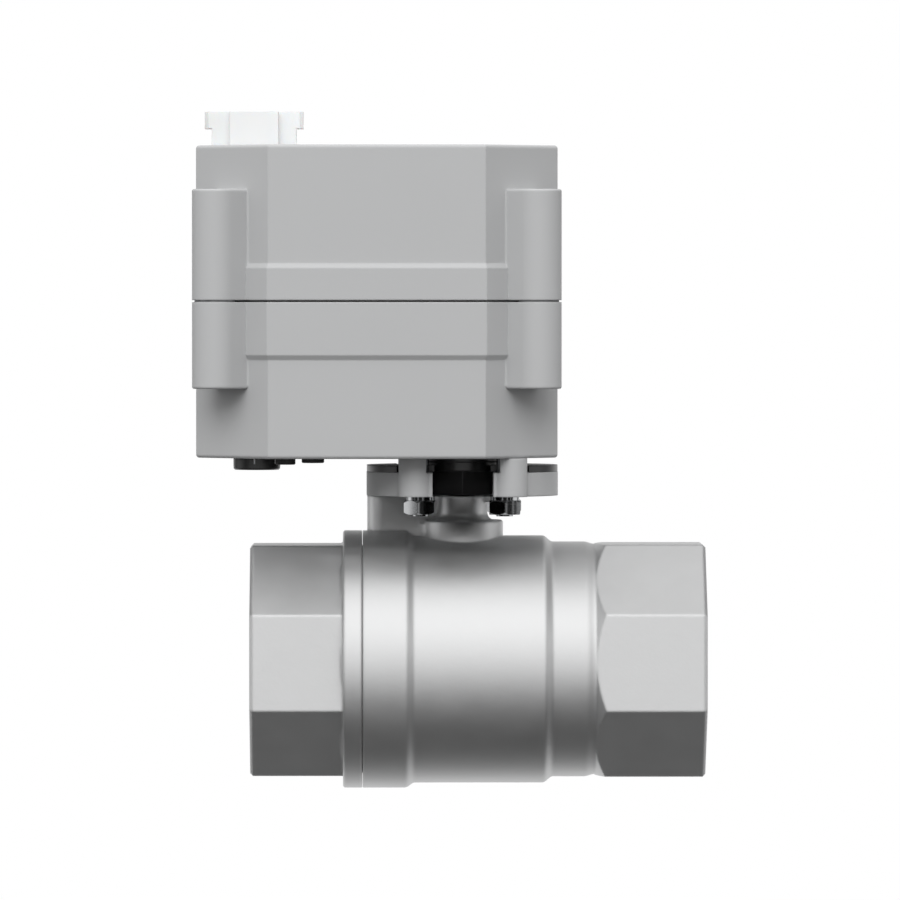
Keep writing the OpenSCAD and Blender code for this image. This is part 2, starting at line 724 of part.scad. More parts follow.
module stem() color("#b5b7b8") {
    at_stem(0) difference() {
        union() {
            translate([-tongue_thickness / 2, -tongue_width / 2, ball_r - slot_depth + 0.1])
                cube([tongue_thickness, tongue_width,
                    shoulder_top - shoulder_thickness - ball_r + slot_depth]);
            translate([0, 0, shoulder_top - shoulder_thickness])
                chamfered_disc(shoulder_r, shoulder_thickness, 0.2);
            cylinder_from(stem_r, shoulder_top - 0.5, mount_plane - 0.2);
            translate([0, 0, mount_plane - 0.5]) square_bar(stem_square, 3.6);
        }
        for (z = o_ring_heights) translate([0, 0, z - o_ring_cord_r - 0.1])
            tube(stem_r + 1, o_ring_r - o_ring_cord_r - 0.02, 2 * o_ring_cord_r + 0.2);
    }
}
module cylinder_from(r, from, to) {
    translate([0, 0, from]) cylinder(r = r, h = to - from);
}

module thrust_washer() color("#f2f2ee")
    at_stem(shoulder_top + 0.02) tube(shoulder_r, stem_r + turning_gap, thrust_thickness - 0.04);

module stem_o_rings() color("#222222") {
    for (z = o_ring_heights) at_stem(z)
        rotate_extrude() translate([o_ring_r, 0]) circle(r = o_ring_cord_r, $fn = 24);
}

module coupling() color("#161616") {
    at_stem(0) difference() {
        union() {
            translate([0, 0, coupling_bottom])
                hexagon(coupling_flats, flange_top - coupling_bottom + 0.2, 30);
            translate([0, 0, flange_top + 0.1])
                chamfered_disc(coupling_collar_r, coupling_top - flange_top - 0.1, 0.15);
            translate([0, 0, coupling_top - coupling_step])
                chamfered_disc(coupling_top_r, coupling_step, 0.15);
        }
        translate([0, 0, coupling_bottom - 1])
            square_bar(stem_square + 2 * fit_gap, coupling_middle - coupling_bottom + 0.9);
        translate([0, 0, coupling_middle + 0.3]) square_bar(shaft_square + 2 * fit_gap, 10);
    }
}

// Yoke

module pillar_plan(grow) {
    r = pillar_width / 2;
    outer = sqrt(pow(flange_r, 2) - pow(pillar_x, 2)) - r + 2.3;
    inner = pillar_inner_y + r;
    translate([pillar_x, inner]) circle(r = r + grow);
    translate([pillar_x, outer]) circle(r = r + grow);
    translate([pillar_x - r - grow, inner]) square([2 * (r + grow), outer - inner]);
}

// The concave fillet where a pillar's outer side meets the flange rim
module rim_fillet_plan() {
    side = pillar_x + pillar_width / 2;
    middle = [side + pillar_fillet, sqrt(pow(flange_r + pillar_fillet, 2) - pow(side + pillar_fillet, 2))];
    // The fillet ends one degree short of where it would thin out to nothing on the rim
    touch = turned(flange_r, atan2(middle[1], middle[0]) + 1);
    difference() {
        polygon([[side - 1, middle[1]], middle, touch, [side, touch[1] - 1.5], [side - 1, touch[1] - 1.5]]);
        translate(middle) circle(r = pillar_fillet);
    }
}

module all_quarters() {
    for (x = [0, 1], y = [0, 1]) mirror([x, 0, 0]) mirror([0, y, 0]) children();
}

module mount_yoke() color("#b9bab8") {
    at_stem(0) difference() {
        union() {
            translate([0, 0, mount_plane]) cylinder(r = flange_r, h = flange_thickness);
            all_quarters() {
                translate([0, 0, mount_plane]) linear_extrude(flange_thickness + yoke_gap) pillar_plan(0);
                translate([0, 0, mount_plane]) linear_extrude(flange_thickness) rim_fillet_plan();
            }
        }
        cylinder_from(coupling_top_r + 0.45, mount_plane - 1, flange_top + 1);
        translate([-window_width / 2, -flange_r - 5, mount_plane - 1])
            cube([window_width, flange_r + 5, 20]);
        for (end = [0, 180]) rotate([0, 0, end])
            translate([-coupling_top_r - 0.1, -flange_r - 5, flange_top])
                cube([2 * coupling_top_r + 0.2, flange_r, 20]);
        translate([0, 0, mount_plane - 1]) ears(0.1, ear_thickness + 1.1);
        four_corners(bolt_offset, bolt_offset)
            cylinder_from(bolt_r + bolt_gap, mount_plane, housing_bottom + 1);
    }
}

module yoke_ring() color("#1a1a1a") {
    at_stem(flange_top) difference() {
        cylinder(r = flange_r - ring_margin, h = ring_thickness);
        translate([0, 0, -1]) cylinder(r = coupling_top_r + 0.6, h = ring_thickness + 2);
        translate([0, 0, -1]) all_quarters() linear_extrude(ring_thickness + 2)
            pillar_plan(ring_clearance);
        translate([-pillar_x, -flange_r - 5, -1]) cube([2 * pillar_x, flange_r, ring_thickness + 2]);
    }
}

module mount_bolts() color("#c8cacc") {
    at_stem(0) four_corners(bolt_offset, bolt_offset) difference() {
        union() {
            cylinder_from(bolt_r, nut_bottom - 0.3, floor_top + 0.5);
            translate([0, 0, floor_top]) chamfered_disc(head_r, head_height, 0.2);
        }
        translate([0, 0, floor_top + head_height - 1.5]) hexagon(2.5, 3, 0);
    }
}

module mount_nuts() color("#d8dadc") {
    for (nut = [[-1, -1, 20], [1, -1, 30], [-1, 1, 48], [1, 1, 5]]) at_stem(0)
    translate([nut[0] * bolt_offset, nut[1] * bolt_offset, 0]) difference() {
        intersection() {
            translate([0, 0, nut_bottom]) hexagon(nut_flats, nut_height, nut[2]);
            translate([0, 0, nut_bottom]) chamfered_disc(nut_flats / 2 / cos(30), nut_height, 0.4);
        }
        cylinder_from(bolt_r + fit_gap, nut_bottom - 1, nut_top + 1);
    }
}

module spring_washers() color("#b9bbbd") {
    at_stem(0) four_corners(bolt_offset, bolt_offset) difference() {
        translate([0, 0, nut_top]) tube(washer_r, bolt_r + bolt_gap, washer_thickness);
        translate([bolt_r - 0.2, -0.15, nut_top - 1]) cube([washer_r, 0.3, washer_thickness + 2]);
    }
}

// Housing

// A strip as wide as the housing in one direction, with its top and bottom edges rounded
module rounded_strip(half, bottom, top, r) {
    translate([-half + r, bottom]) square([2 * (half - r), top - bottom]);
    translate([-half, bottom + r]) square([2 * half, top - bottom - 2 * r]);
    for (side = [-1, 1], y = [bottom + r, top - r]) translate([side * (half - r), y])
        circle(r = r, $fn = 32);
}

// What four pairs of opposite faces leave of a long strip in each direction is the eight-sided housing
module strip_solid(turn) {
    rotate([90, 0, turn]) translate([0, 0, -housing_width]) linear_extrude(2 * housing_width) children();
}

module rounded_block(grow, bottom, top, r) {
    translate([housing_x, 0, 0]) intersection() {
        strip_solid(0) rounded_strip(housing_width / 2 + grow, bottom, top, r);
        strip_solid(90) rounded_strip(housing_depth / 2 + grow, bottom, top, r);
        strip_solid(45) rounded_strip(corner_plane + grow, bottom, top, r);
        strip_solid(-45) rounded_strip(corner_plane + grow, bottom, top, r);
    }
}

module eight_sided(grow) {
    half_x = housing_width / 2 + grow;
    half_y = housing_depth / 2 + grow;
    cut = half_x + half_y - (corner_plane + grow) * sqrt(2);
    translate([housing_x, 0]) polygon([[half_x - cut, -half_y], [half_x, cut - half_y],
        [half_x, half_y - cut],
        [half_x - cut, half_y], [cut - half_x, half_y], [-half_x, half_y - cut], [-half_x, cut - half_y],
        [cut - half_x, -half_y]]);
}

module plain_block(grow, bottom, top) {
    translate([0, 0, bottom]) linear_extrude(top - bottom) eight_sided(grow);
}

module belt_strip(half) {
    low = joint_z - belt_below;
    high = joint_z + belt_above;
    out = half + belt_proud;
    polygon([[-half, low], [-out, low + belt_slope], [-out, high - belt_slope], [-half, high],
        [half, high], [out, high - belt_slope], [out, low + belt_slope], [half, low]]);
}

module belt() {
    translate([housing_x, 0, 0]) intersection() {
        strip_solid(0) belt_strip(housing_width / 2);
        strip_solid(90) belt_strip(housing_depth / 2);
        strip_solid(45) belt_strip(corner_plane);
        strip_solid(-45) belt_strip(corner_plane);
    }
}

// One screw pillar, drawn from the corner chamfer outwards along +X
module corner_pillar() {
    bottom = housing_bottom + corner_pillar_bottom;
    top = housing_bottom + corner_pillar_top;
    r = corner_pillar_r;
    e = corner_edge_r;
    translate([pillar_reach, 0, 0]) rotate_extrude() {
        translate([0, bottom]) square([r - e, top - bottom]);
        translate([0, bottom + e]) square([r, top - bottom - 2 * e]);
        for (y = [bottom + e, top - e]) translate([r - e, y]) circle(r = e, $fn = 32);
    }
    translate([pillar_reach, 0, 0]) rotate([90, 0, -90]) linear_extrude(pillar_reach + 1)
        rounded_strip(r, bottom, top, e);
    for (side = [-1, 1]) translate([0, 0, bottom + e]) linear_extrude(top - bottom - 2 * e) difference() {
        translate([-0.5, side > 0 ? r - 0.5 : -r - corner_fillet])
            square([corner_fillet + 0.5, corner_fillet + 0.5]);
        translate([corner_fillet, side * (r + corner_fillet)]) circle(r = corner_fillet, $fn = 48);
    }
}

// The four places of what stands on the corner chamfers
module at_corners() {
    along = (corner_pillar_x - corner_pillar_y) / 2 * sqrt(2);
    for (x = [0, 1], y = [0, 1]) translate([housing_x, 0, 0]) mirror([x, 0, 0]) mirror([0, y, 0])
        translate([corner_pillar_x - pillar_reach / sqrt(2), corner_pillar_y - pillar_reach / sqrt(2), 0])
            rotate([0, 0, 45]) children();
}

module at_corner_screws() {
    translate([housing_x, 0, 0]) four_corners(corner_pillar_x, corner_pillar_y) children();
}

module housing_outside() {
    rounded_block(0, housing_bottom, housing_top, edge_r);
    belt();
    at_corners() corner_pillar();
}

module slab(bottom, top) {
    translate([housing_left - 5, -housing_depth, bottom])
        cube([housing_width + 10, 2 * housing_depth, top - bottom]);
}

module housing_base() color("#b4b5b3") {
    difference() {
        union() {
            difference() {
                intersection() {
                    housing_outside();
                    slab(housing_bottom - 1, joint_z - housing_gap / 2);
                }
                plain_block(-wall, floor_top, housing_top);
                translate([0, 0, joint_z - housing_gap / 2 - gasket_depth]) linear_extrude(5) difference() {
                    eight_sided(-(wall - gasket_width) / 2 + 0.05);
                    eight_sided(-(wall + gasket_width) / 2 - 0.05);
                }
            }
            place(second_at, floor_top - 1) cylinder(r = arbor_r + 1.7, h = sector_z - floor_top + 0.9);
            place(first_at, floor_top - 1) cylinder(r = manual_shaft_r + 2, h = second_z - floor_top + 0.7);
            at_stem(floor_top - 1) cylinder(r = output_r + bush_wall + 1.6, h = bush_rise + 1);
            at_corner_screws() cylinder_from(corner_pillar_r - land_margin, joint_z - housing_gap,
                joint_z + housing_gap / 2);
        }
        place(second_at, housing_bottom + 1) cylinder(r = arbor_r, h = 20);
        place(first_at, housing_bottom - 1) cylinder(r = manual_shaft_r + turning_gap, h = 30);
        place(first_at, housing_bottom - 1) cylinder(r = manual_shaft_r + 1.2, h = 2.3);
        at_stem(housing_bottom - 1) cylinder(r = output_r + bush_wall, h = 20);
        at_stem(housing_bottom - 1) four_corners(bolt_offset, bolt_offset)
            cylinder(r = bolt_r + bolt_gap, h = 6);
        for (at = post_places) place(at, floor_top - 2.2) cylinder(r = 1.5, h = 5);
        at_corner_screws() cylinder_from(1.5, housing_bottom + corner_pillar_bottom + 4, joint_z + 1);
        place(small_plug_at, housing_bottom - 1) cylinder(r = small_plug_r - 0.6, h = 3);
        place(large_plug_at, housing_bottom - 1) cylinder(r = large_plug_r - 0.6, h = 3);
    }
}

module socket_outline(grow) {
    translate([socket_x - socket_width / 2 - grow, -socket_depth / 2 - grow])
        square([socket_width + 2 * grow, socket_depth + 2 * grow]);
    translate([socket_x - key_width / 2 - grow, -socket_depth / 2 - key_proud - grow])
        square([key_width + 2 * grow, key_proud + 1]);
}

module housing_cover() color("#b8b9b7") {
    difference() {
        union() {
            difference() {
                intersection() {
                    housing_outside();
                    slab(joint_z + housing_gap / 2, housing_top + 1);
                }
                plain_block(-wall, housing_bottom, ceiling);
            }
            for (at = board_screw_places) place(at, board_top)
                cylinder(r = boss_wall_r, h = ceiling - board_top + 1);
        }
        for (at = board_screw_places) place(at, board_top - 1)
            cylinder(r = screw_r + fit_gap, h = ceiling - board_top + 1.2);
        translate([0, 0, ceiling - 1]) linear_extrude(wall + 2) socket_outline(0.1);
        at_corner_screws() cylinder_from(bolt_r + bolt_gap, joint_z, housing_top);
        at_corner_screws() cylinder_from(head_r + 0.2,
            housing_bottom + corner_pillar_top - head_height - 0.2,
            housing_top);
    }
}

module housing_gasket() color("#2a2a2a") {
    translate([0, 0, joint_z - housing_gap / 2 - gasket_depth + 0.02])
        linear_extrude(gasket_depth + housing_gap - 0.04) difference() {
            eight_sided(-(wall - gasket_width) / 2);
            eight_sided(-(wall + gasket_width) / 2);
        }
}

module housing_screws() color("#b0b2b4") {
    head_bottom = housing_bottom + corner_pillar_top - head_height - 0.2;
    at_corner_screws() difference() {
        union() {
            cylinder_from(1.45, housing_bottom + corner_pillar_bottom + 5, head_bottom + 0.5);
            translate([0, 0, head_bottom]) chamfered_disc(head_r, head_height, 0.2);
        }
        translate([0, 0, head_bottom + head_height - 1.5]) hexagon(2.5, 3, 0);
    }
}

// Output

module lower_bush() color("#b08d57") {
    at_stem(housing_bottom) tube(output_r + bush_wall - fit_gap, output_r + turning_gap,
        floor_thickness + bush_rise);
    at_stem(floor_top + bush_rise) tube(output_r + bush_wall + 1, output_r + turning_gap, 0.8);
}

module upper_bush() color("#b08d57") {
    at_stem(plate_z - 0.8) tube(output_top_r + bush_wall + 1, output_top_r + turning_gap, 0.8);
    at_stem(plate_z) tube(output_top_r + bush_wall - fit_gap, output_top_r + turning_gap, plate_thickness);
}

shaft_flat = 0.8;
module flat_round(r, height, flat) {
    intersection() {
        cylinder(r = r, h = height);
        translate([-r - 1, -r - 1, 0]) cube([2 * r + 1 - flat, 2 * r + 2, height]);
    }
}

module output_shaft() color("#a7a9ab") {
    at_stem(0) {
        translate([0, 0, coupling_middle + 0.5])
            square_bar(shaft_square, coupling_top - coupling_middle - 0.4);
        cylinder_from(output_r, coupling_top + coupling_gap / 2, sector_z);
        translate([0, 0, sector_z]) flat_round(output_r, sector_thickness + 1, shaft_flat);
        cylinder_from(output_top_r, sector_z + sector_thickness + 1, cam_z);
        translate([0, 0, cam_z]) flat_round(output_top_r, cam_thickness + 1.5, shaft_flat);
    }
}

// Gears: every tooth has true involute flanks

function roll(r, base_r) = r <= base_r ? 0 :
    let (t = sqrt(pow(r / base_r, 2) - 1)) t * 180 / PI - atan(t);
function half_tooth(r, teeth, pitch_r) = 90 / teeth - tooth_thinning * 180 / PI / teeth
    + roll(pitch_r, pitch_r * cos(pressure_angle)) - roll(r, pitch_r * cos(pressure_angle));
function tooth_points(teeth, gear_module, angle) =
    let (pitch_r = teeth * gear_module / 2)
    let (root_r = pitch_r - 1.25 * gear_module)
    let (flank_r = max(root_r, pitch_r * cos(pressure_angle)))
    let (tip_r = pitch_r + gear_module)
    let (steps = [for (i = [0:4]) flank_r + (tip_r - flank_r) * i / 4])
    let (foot = half_tooth(flank_r, teeth, pitch_r))
    concat(root_r < flank_r ? [turned(root_r, angle - foot)] : [],
        [for (r = steps) turned(r, angle - half_tooth(r, teeth, pitch_r))],
        [for (i = [4:-1:0]) turned(steps[i], angle + half_tooth(steps[i], teeth, pitch_r))],
        root_r < flank_r ? [turned(root_r, angle + foot)] : []);

module toothed_wheel(teeth, gear_module, phase, height) {
    linear_extrude(height) polygon([for (i = [0:teeth - 1])
        each tooth_points(teeth, gear_module, phase + i * 360 / teeth)]);
}

module sector_plan() {
    pitch = 360 / sector_teeth;
    start = sector_phase - pitch * floor(sector_cut_teeth / 2);
    root_r = (sector_teeth / 2 - 1.25) * sector_module;
    polygon(concat([for (i = [0:sector_cut_teeth - 1])
        each tooth_points(sector_teeth, sector_module, start + i * pitch)],
        [turned(root_r, start + (sector_cut_teeth - 0.5) * pitch), [0, 0],
            turned(root_r, start - pitch / 2)]));
}

module sector_gear() color("#d8d2c0") {
    rim_r = (sector_teeth / 2 - 1.25) * sector_module;
    at_stem(sector_z) difference() {
        union() {
            linear_extrude(sector_thickness) sector_plan();
            cylinder(r = output_r + hub_wall, h = sector_thickness);
        }
        translate([0, 0, -1]) flat_round(output_r + 0.02, sector_thickness + 2, shaft_flat - 0.02);
        for (turn = [-34, 0, 34]) rotate([0, 0, sector_middle + turn]) {
            translate([(output_r + hub_wall + rim_r) / 2, 0, -1]) cylinder(r = 2, h = sector_thickness + 2);
        }
    }
}

module wheel_relief(teeth, gear_module, hub_r, height) {
    rim_r = teeth * gear_module / 2 - 3 * gear_module;
    tube(rim_r, hub_r, height);
}

module second_gear() color("#d8d2c0") {
    hub_r = pinion_teeth * sector_module / 2 - 1.25 * sector_module;
    place(second_at, 0) difference() {
        union() {
            translate([0, 0, sector_z - 0.1])
                toothed_wheel(pinion_teeth, sector_module, second_pinion_phase,
                second_z - sector_z + 0.1);
            translate([0, 0, second_z]) toothed_wheel(second_teeth, second_module, 0, second_thickness);
            cylinder_from(hub_r - 0.9, second_z, plate_z - 0.2);
        }
        cylinder_from(arbor_r + turning_gap, sector_z - 1, plate_z);
        translate([0, 0, second_z + second_thickness - 0.7])
            wheel_relief(second_teeth, second_module, hub_r, 1);
    }
}

module second_arbor() color("#a7a9ab")
    place(second_at, housing_bottom + 1.2)
        cylinder(r = arbor_r - 0.01, h = plate_top - housing_bottom - 1.2);

module first_gear() color("#d8d2c0") {
    place(first_at, 0) difference() {
        union() {
            translate([0, 0, second_z - 0.1]) toothed_wheel(pinion_teeth, second_module, first_pinion_phase,
                first_z - second_z + 0.1);
            translate([0, 0, first_z]) toothed_wheel(first_teeth, first_module, 0, first_thickness);
            cylinder_from(manual_shaft_r + 1, first_z, plate_z - 0.2);
        }
        translate([0, 0, second_z - 1]) flat_round(manual_shaft_r + 0.02, plate_z, 0.28);
        translate([0, 0, first_z + first_thickness - 0.6])
            wheel_relief(first_teeth, first_module, manual_shaft_r + 1.6, 1);
    }
}

module manual_shaft() color("#a7a9ab") {
    place(first_at, 0) {
        translate([0, 0, housing_bottom - 1.4]) flat_round(manual_shaft_r, 1.4, 0.3);
        cylinder_from(manual_shaft_r, housing_bottom, second_z - 0.3);
        translate([0, 0, second_z - 0.3]) flat_round(manual_shaft_r, plate_z - second_z, 0.3);
        cylinder_from(manual_shaft_r - 0.3, plate_z - 0.3, plate_top);
    }
}

module manual_knob() color("#141414") {
    place(first_at, housing_bottom - knob_height - 0.1) difference() {
        chamfered_disc(knob_r, knob_height, 0.25);
        translate([-knob_r - 1, -knob_slot / 2, -1]) cube([2 * knob_r + 2, knob_slot, 1.6]);
        translate([0, 0, knob_height - 1.32]) flat_round(manual_shaft_r + 0.02, 3, 0.28);
    }
}

module knob_seal() color("#222222")
    place(first_at, housing_bottom + 0.65) rotate_extrude()
        translate([manual_shaft_r + 0.6, 0]) circle(r = 0.54, $fn = 24);

module motor_pinion() color("#c9a860") {
    place(motor_at, first_z - 0.4) difference() {
        toothed_wheel(pinion_teeth, first_module, motor_pinion_phase, first_thickness + 1.2);
        translate([0, 0, -1]) flat_round(motor_shaft_r + 0.02, 10, 0.28);
    }
}

module motor_shaft() color("#a7a9ab") {
    place(motor_at, first_z - 0.3) flat_round(motor_shaft_r, first_thickness + 1.4, 0.3);
    place(motor_at, first_z + first_thickness + 1)
        cylinder(r = motor_shaft_r, h = plate_top - first_z - first_thickness + 1);
}

module gearhead() color("#9c9ea0") {
    place(motor_at, plate_top) difference() {
        chamfered_disc(gearhead_r, gearhead_height, 0.3);
        translate([0, 0, -1]) cylinder(r = motor_shaft_r + turning_gap, h = 3.5);
        for (turn = [0, 180]) rotate([0, 0, motor_screw_turn + turn]) translate([motor_screw_circle, 0, -1])
            cylinder(r = screw_r + fit_gap, h = 5);
    }
}

module motor() color("#b4b6b8") {
    place(motor_at, motor_z) {
        difference() {
            chamfered_disc(motor_r, motor_height, 0.6);
            for (angle = [30, 150, 270]) rotate([0, 0, angle])
                translate([motor_r - 2 * motor_vent_r, 0, motor_height - 0.8])
                    cylinder(r = motor_vent_r, h = 2);
        }
        cylinder_from(motor_boss_r, motor_height - 0.5, motor_height + 1);
    }
}

module motor_screws() color("#8e9092") {
    for (at = motor_screw_places) place(at, plate_z) {
        cylinder(r = screw_r, h = plate_thickness + 3);
        translate([0, 0, -screw_head_height]) chamfered_disc(screw_head_r, screw_head_height, 0.2);
    }
}

module gear_plate() color("#a9abad") {
    difference() {
        plain_block(-wall - plate_room, plate_z, plate_top);
        at_stem(plate_z - 1) cylinder(r = output_top_r + bush_wall, h = 5);
        place(second_at, plate_z - 1) cylinder(r = arbor_r, h = 5);
        place(first_at, plate_z - 1) cylinder(r = manual_shaft_r - 0.3 + turning_gap, h = 5);
        place(motor_at, plate_z - 1) cylinder(r = motor_shaft_r + 0.6, h = 5);
        for (at = motor_screw_places) place(at, plate_z - 1) cylinder(r = screw_r + 2 * fit_gap, h = 5);
        for (at = post_places) place(at, plate_z - 1) cylinder(r = bolt_r + bolt_gap, h = 5);
    }
}

module plate_posts() color("#c9a860") {
    for (at = post_places) place(at, 0) difference() {
        union() {
            translate([0, 0, floor_top]) hexagon(post_flats, plate_z - floor_top, 0);
            cylinder_from(1.45, floor_top - 2, floor_top + 1);
        }
        cylinder_from(bolt_r, plate_z - 7, plate_z + 1);
    }
}

module plate_screws() color("#8e9092") {
    for (at = post_places) place(at, 0) difference() {
        union() {
            cylinder_from(bolt_r - 0.05, plate_z - 6, plate_top + 0.5);
            translate([0, 0, plate_top]) chamfered_disc(plate_head_r, plate_head_height, 0.4);
        }
        for (turn = [0, 90]) rotate([0, 0, turn])
            translate([-0.6 * plate_head_r, -0.35, plate_top + plate_head_height / 2])
                cube([1.2 * plate_head_r, 0.7, 2]);
    }
}

// The cam rises along a quarter turn for each button, so a button moves evenly as the valve turns
function cam_radius(angle) = angle < 0 ? cam_r - button_travel * (angle + 90) / 90 :
    angle < 90 ? cam_r - button_travel :
    angle < 180 ? cam_r - button_travel * (180 - angle) / 90 : cam_r;

module cam() color("#e6e2d6") {
    at_stem(cam_z) difference() {
        linear_extrude(cam_thickness) polygon([for (angle = [-90:3:267]) turned(cam_radius(angle), angle)]);
        translate([0, 0, -1]) flat_round(output_top_r + 0.02, cam_thickness + 2, shaft_flat - 0.02);
        for (turn = [60, 150, 240]) rotate([0, 0, turn]) translate([6, 0, -1])
            cylinder(r = 1.2, h = cam_thickness + 2);
    }
}

// A limit switch on the gear plate; the front one feels the open valve and the back one the closed valve
module limit_switch(side) {
    mirror([0, side > 0 ? 0 : 1, 0]) difference() {
        union() {
            translate([switch_middle_x - switch_length / 2, switch_y, plate_top])
                cube([switch_length, switch_height, switch_thickness]);
            for (x = [-0.4, 0, 0.4]) translate([switch_middle_x + x * switch_length - 0.4,
                switch_y + switch_height - 0.5, plate_top + 3])
                cube([0.8, 0.5, switch_thickness + 0.5]);
        }
        translate([stem_x - button_width / 2 - fit_gap, switch_y - 1, cam_z + 1 - fit_gap])
            cube([button_width + 2 * fit_gap, button_length + 0.6, button_width + 2 * fit_gap]);
        for (end = [-0.5, 0.5]) translate([switch_middle_x + end * switch_hole_pitch - 1,
            switch_y + switch_height - 1.5 * switch_hole_r, plate_top - 1])
            cylinder(r = switch_hole_r, h = switch_thickness + 2);
    }
}
module open_switch() color("#1c1c1c") limit_switch(-1);
module closed_switch() color("#1c1c1c") limit_switch(1);

// A button whose tip stands this far from the stem axis
module switch_button(side, tip) {
    mirror([0, side > 0 ? 0 : 1, 0]) translate([stem_x - button_width / 2, tip, cam_z + 1])
        cube([button_width, button_length, button_width]);
}
module open_button() color("#b03028") switch_button(-1, cam_r + button_gap);
module closed_button() color("#b03028") switch_button(1, cam_r + button_gap - button_travel);

// Electronics

module circuit_board() color("#2f6b3c") {
    difference() {
        plain_block(-wall - plate_room, board_z, board_top);
        for (at = board_screw_places) place(at, board_z - 1) cylinder(r = screw_r + bolt_gap, h = 5);
        translate([0, 0, board_z - 1]) linear_extrude(5) pin_plan(0.05);
    }
}

module relay() color("#20407a") {
    translate([relay_x, -relay_width / 2, board_z - relay_height]) difference() {
        cube([relay_length, relay_width, relay_height - 0.02]);
        translate([-1, -1, -1]) cube([2, 2, relay_height + 2]);
    }
}

module board_screws() color("#8e9092") {
    for (at = board_screw_places) place(at, 0) {
        cylinder_from(screw_r, board_z - 0.2, ceiling - 0.5);
        translate([0, 0, board_z - screw_head_height]) chamfered_disc(screw_head_r, screw_head_height, 0.3);
    }
}

module pin_plan(grow) {
    for (i = [0:pin_count - 1])
        translate([socket_x + (i - (pin_count - 1) / 2) * pin_pitch - pin_width / 2 - grow,
            -pin_width / 2 - grow])
            square([pin_width + 2 * grow, pin_width + 2 * grow]);
}

module rim_plan(x, y)
    polygon([for (corner = [[1, 1], [-1, 1], [-1, -1], [1, -1]], first = [0, 1])
        let (along = (corner[0] * corner[1] > 0 ? first : 1 - first) * rim_cut)
        [corner[0] * (x - along), corner[1] * (y - rim_cut + along)]]);

module power_socket() color("#f2f2f0") {
    inner_width = socket_width - 2 * socket_wall;
    inner_depth = socket_depth - 2 * socket_wall;
    difference() {
        union() {
            translate([0, 0, board_top + 0.02]) linear_extrude(socket_top - board_top - 0.02)
                socket_outline(0);
            translate([socket_x, 0, socket_top - socket_rim_height]) linear_extrude(socket_rim_height)
                rim_plan(socket_rim_width / 2, socket_depth / 2);
            translate([socket_x - socket_width / 2, -socket_depth / 2 - key_proud - 0.6, board_top + 0.02])
                cube([socket_width + 1, socket_depth + key_proud + 1.6, ceiling - board_top - 0.1]);
        }
        translate([socket_x - inner_width / 2, -inner_depth / 2, socket_floor])
            cube([inner_width, inner_depth, socket_height + 10]);
        translate([socket_x - key_slot / 2, -socket_depth / 2 - key_proud + 0.5, socket_floor + 2])
            cube([key_slot, key_proud - 0.4 + socket_wall, socket_height + 10]);
        translate([0, 0, board_top - 1]) linear_extrude(20) pin_plan(0.02);
    }
}

module socket_pins() color("#c9a860")
    translate([0, 0, board_z - 1.2]) linear_extrude(pin_top - board_z + 1.2) pin_plan(0);

module blanking_plugs() color("#141414") {
    place(small_plug_at, housing_bottom - small_plug_height)
        chamfered_disc(small_plug_r, small_plug_height, 0.15);
    place(small_plug_at, housing_bottom - 0.5) cylinder(r = small_plug_r - 0.65, h = 2.2);
    place(large_plug_at, housing_bottom - large_plug_height)
        chamfered_disc(large_plug_r, large_plug_height, 0.15);
    place(large_plug_at, housing_bottom - 0.5) cylinder(r = large_plug_r - 0.65, h = 2.2);
}

valve_body();
end_cap();
body_seal();
ball();
inlet_seat();
outlet_seat();
stem();
thrust_washer();
stem_o_rings();
coupling();
mount_yoke();
yoke_ring();
mount_bolts();
mount_nuts();
spring_washers();
housing_base();
housing_cover();
housing_gasket();
housing_screws();
lower_bush();
upper_bush();
output_shaft();
sector_gear();
cam();
second_gear();
second_arbor();
first_gear();
manual_shaft();
manual_knob();
knob_seal();
motor_pinion();
motor_shaft();
gearhead();
motor();
motor_screws();
gear_plate();
plate_posts();
plate_screws();
open_switch();
closed_switch();
open_button();
closed_button();
circuit_board();
relay();
board_screws();
power_socket();
socket_pins();
blanking_plugs();
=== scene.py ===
"""Dresses the motorised ball valve: materials, fine pieces, studio and camera.

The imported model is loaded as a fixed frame, and every piece here is placed from it.
"""

import math

import bmesh
import bpy
from mathutils import Matrix, Vector


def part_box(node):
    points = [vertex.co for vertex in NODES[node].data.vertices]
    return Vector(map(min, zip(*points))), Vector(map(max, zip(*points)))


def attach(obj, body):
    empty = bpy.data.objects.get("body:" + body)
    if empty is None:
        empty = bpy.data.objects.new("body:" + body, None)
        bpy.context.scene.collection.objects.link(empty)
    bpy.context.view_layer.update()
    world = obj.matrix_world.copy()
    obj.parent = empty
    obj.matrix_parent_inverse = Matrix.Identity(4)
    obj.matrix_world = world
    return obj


bl_info = {
    "name": "Motorised ball valve",
    "version": (1, 0, 0),
    "blender": (4, 5, 0),
    "location": "View3D > Sidebar > Valve",
    "description": "Materials, fine pieces and studio for a motorised ball valve",
    "category": "Object",
}

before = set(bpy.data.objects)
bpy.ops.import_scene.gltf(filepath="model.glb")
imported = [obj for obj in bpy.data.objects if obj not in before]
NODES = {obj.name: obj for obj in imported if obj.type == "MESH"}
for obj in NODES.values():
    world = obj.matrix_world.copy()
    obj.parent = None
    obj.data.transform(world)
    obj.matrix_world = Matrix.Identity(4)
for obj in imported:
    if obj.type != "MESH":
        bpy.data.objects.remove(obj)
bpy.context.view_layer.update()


# Sizes and places that come from the frame


def middle(node):
    """The middle of a node's box."""
    lo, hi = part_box(node)
    return (lo + hi) / 2


STEM_X = middle("thrust_washer").x
FLOW_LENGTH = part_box("valve_body")[1].x


# Properties


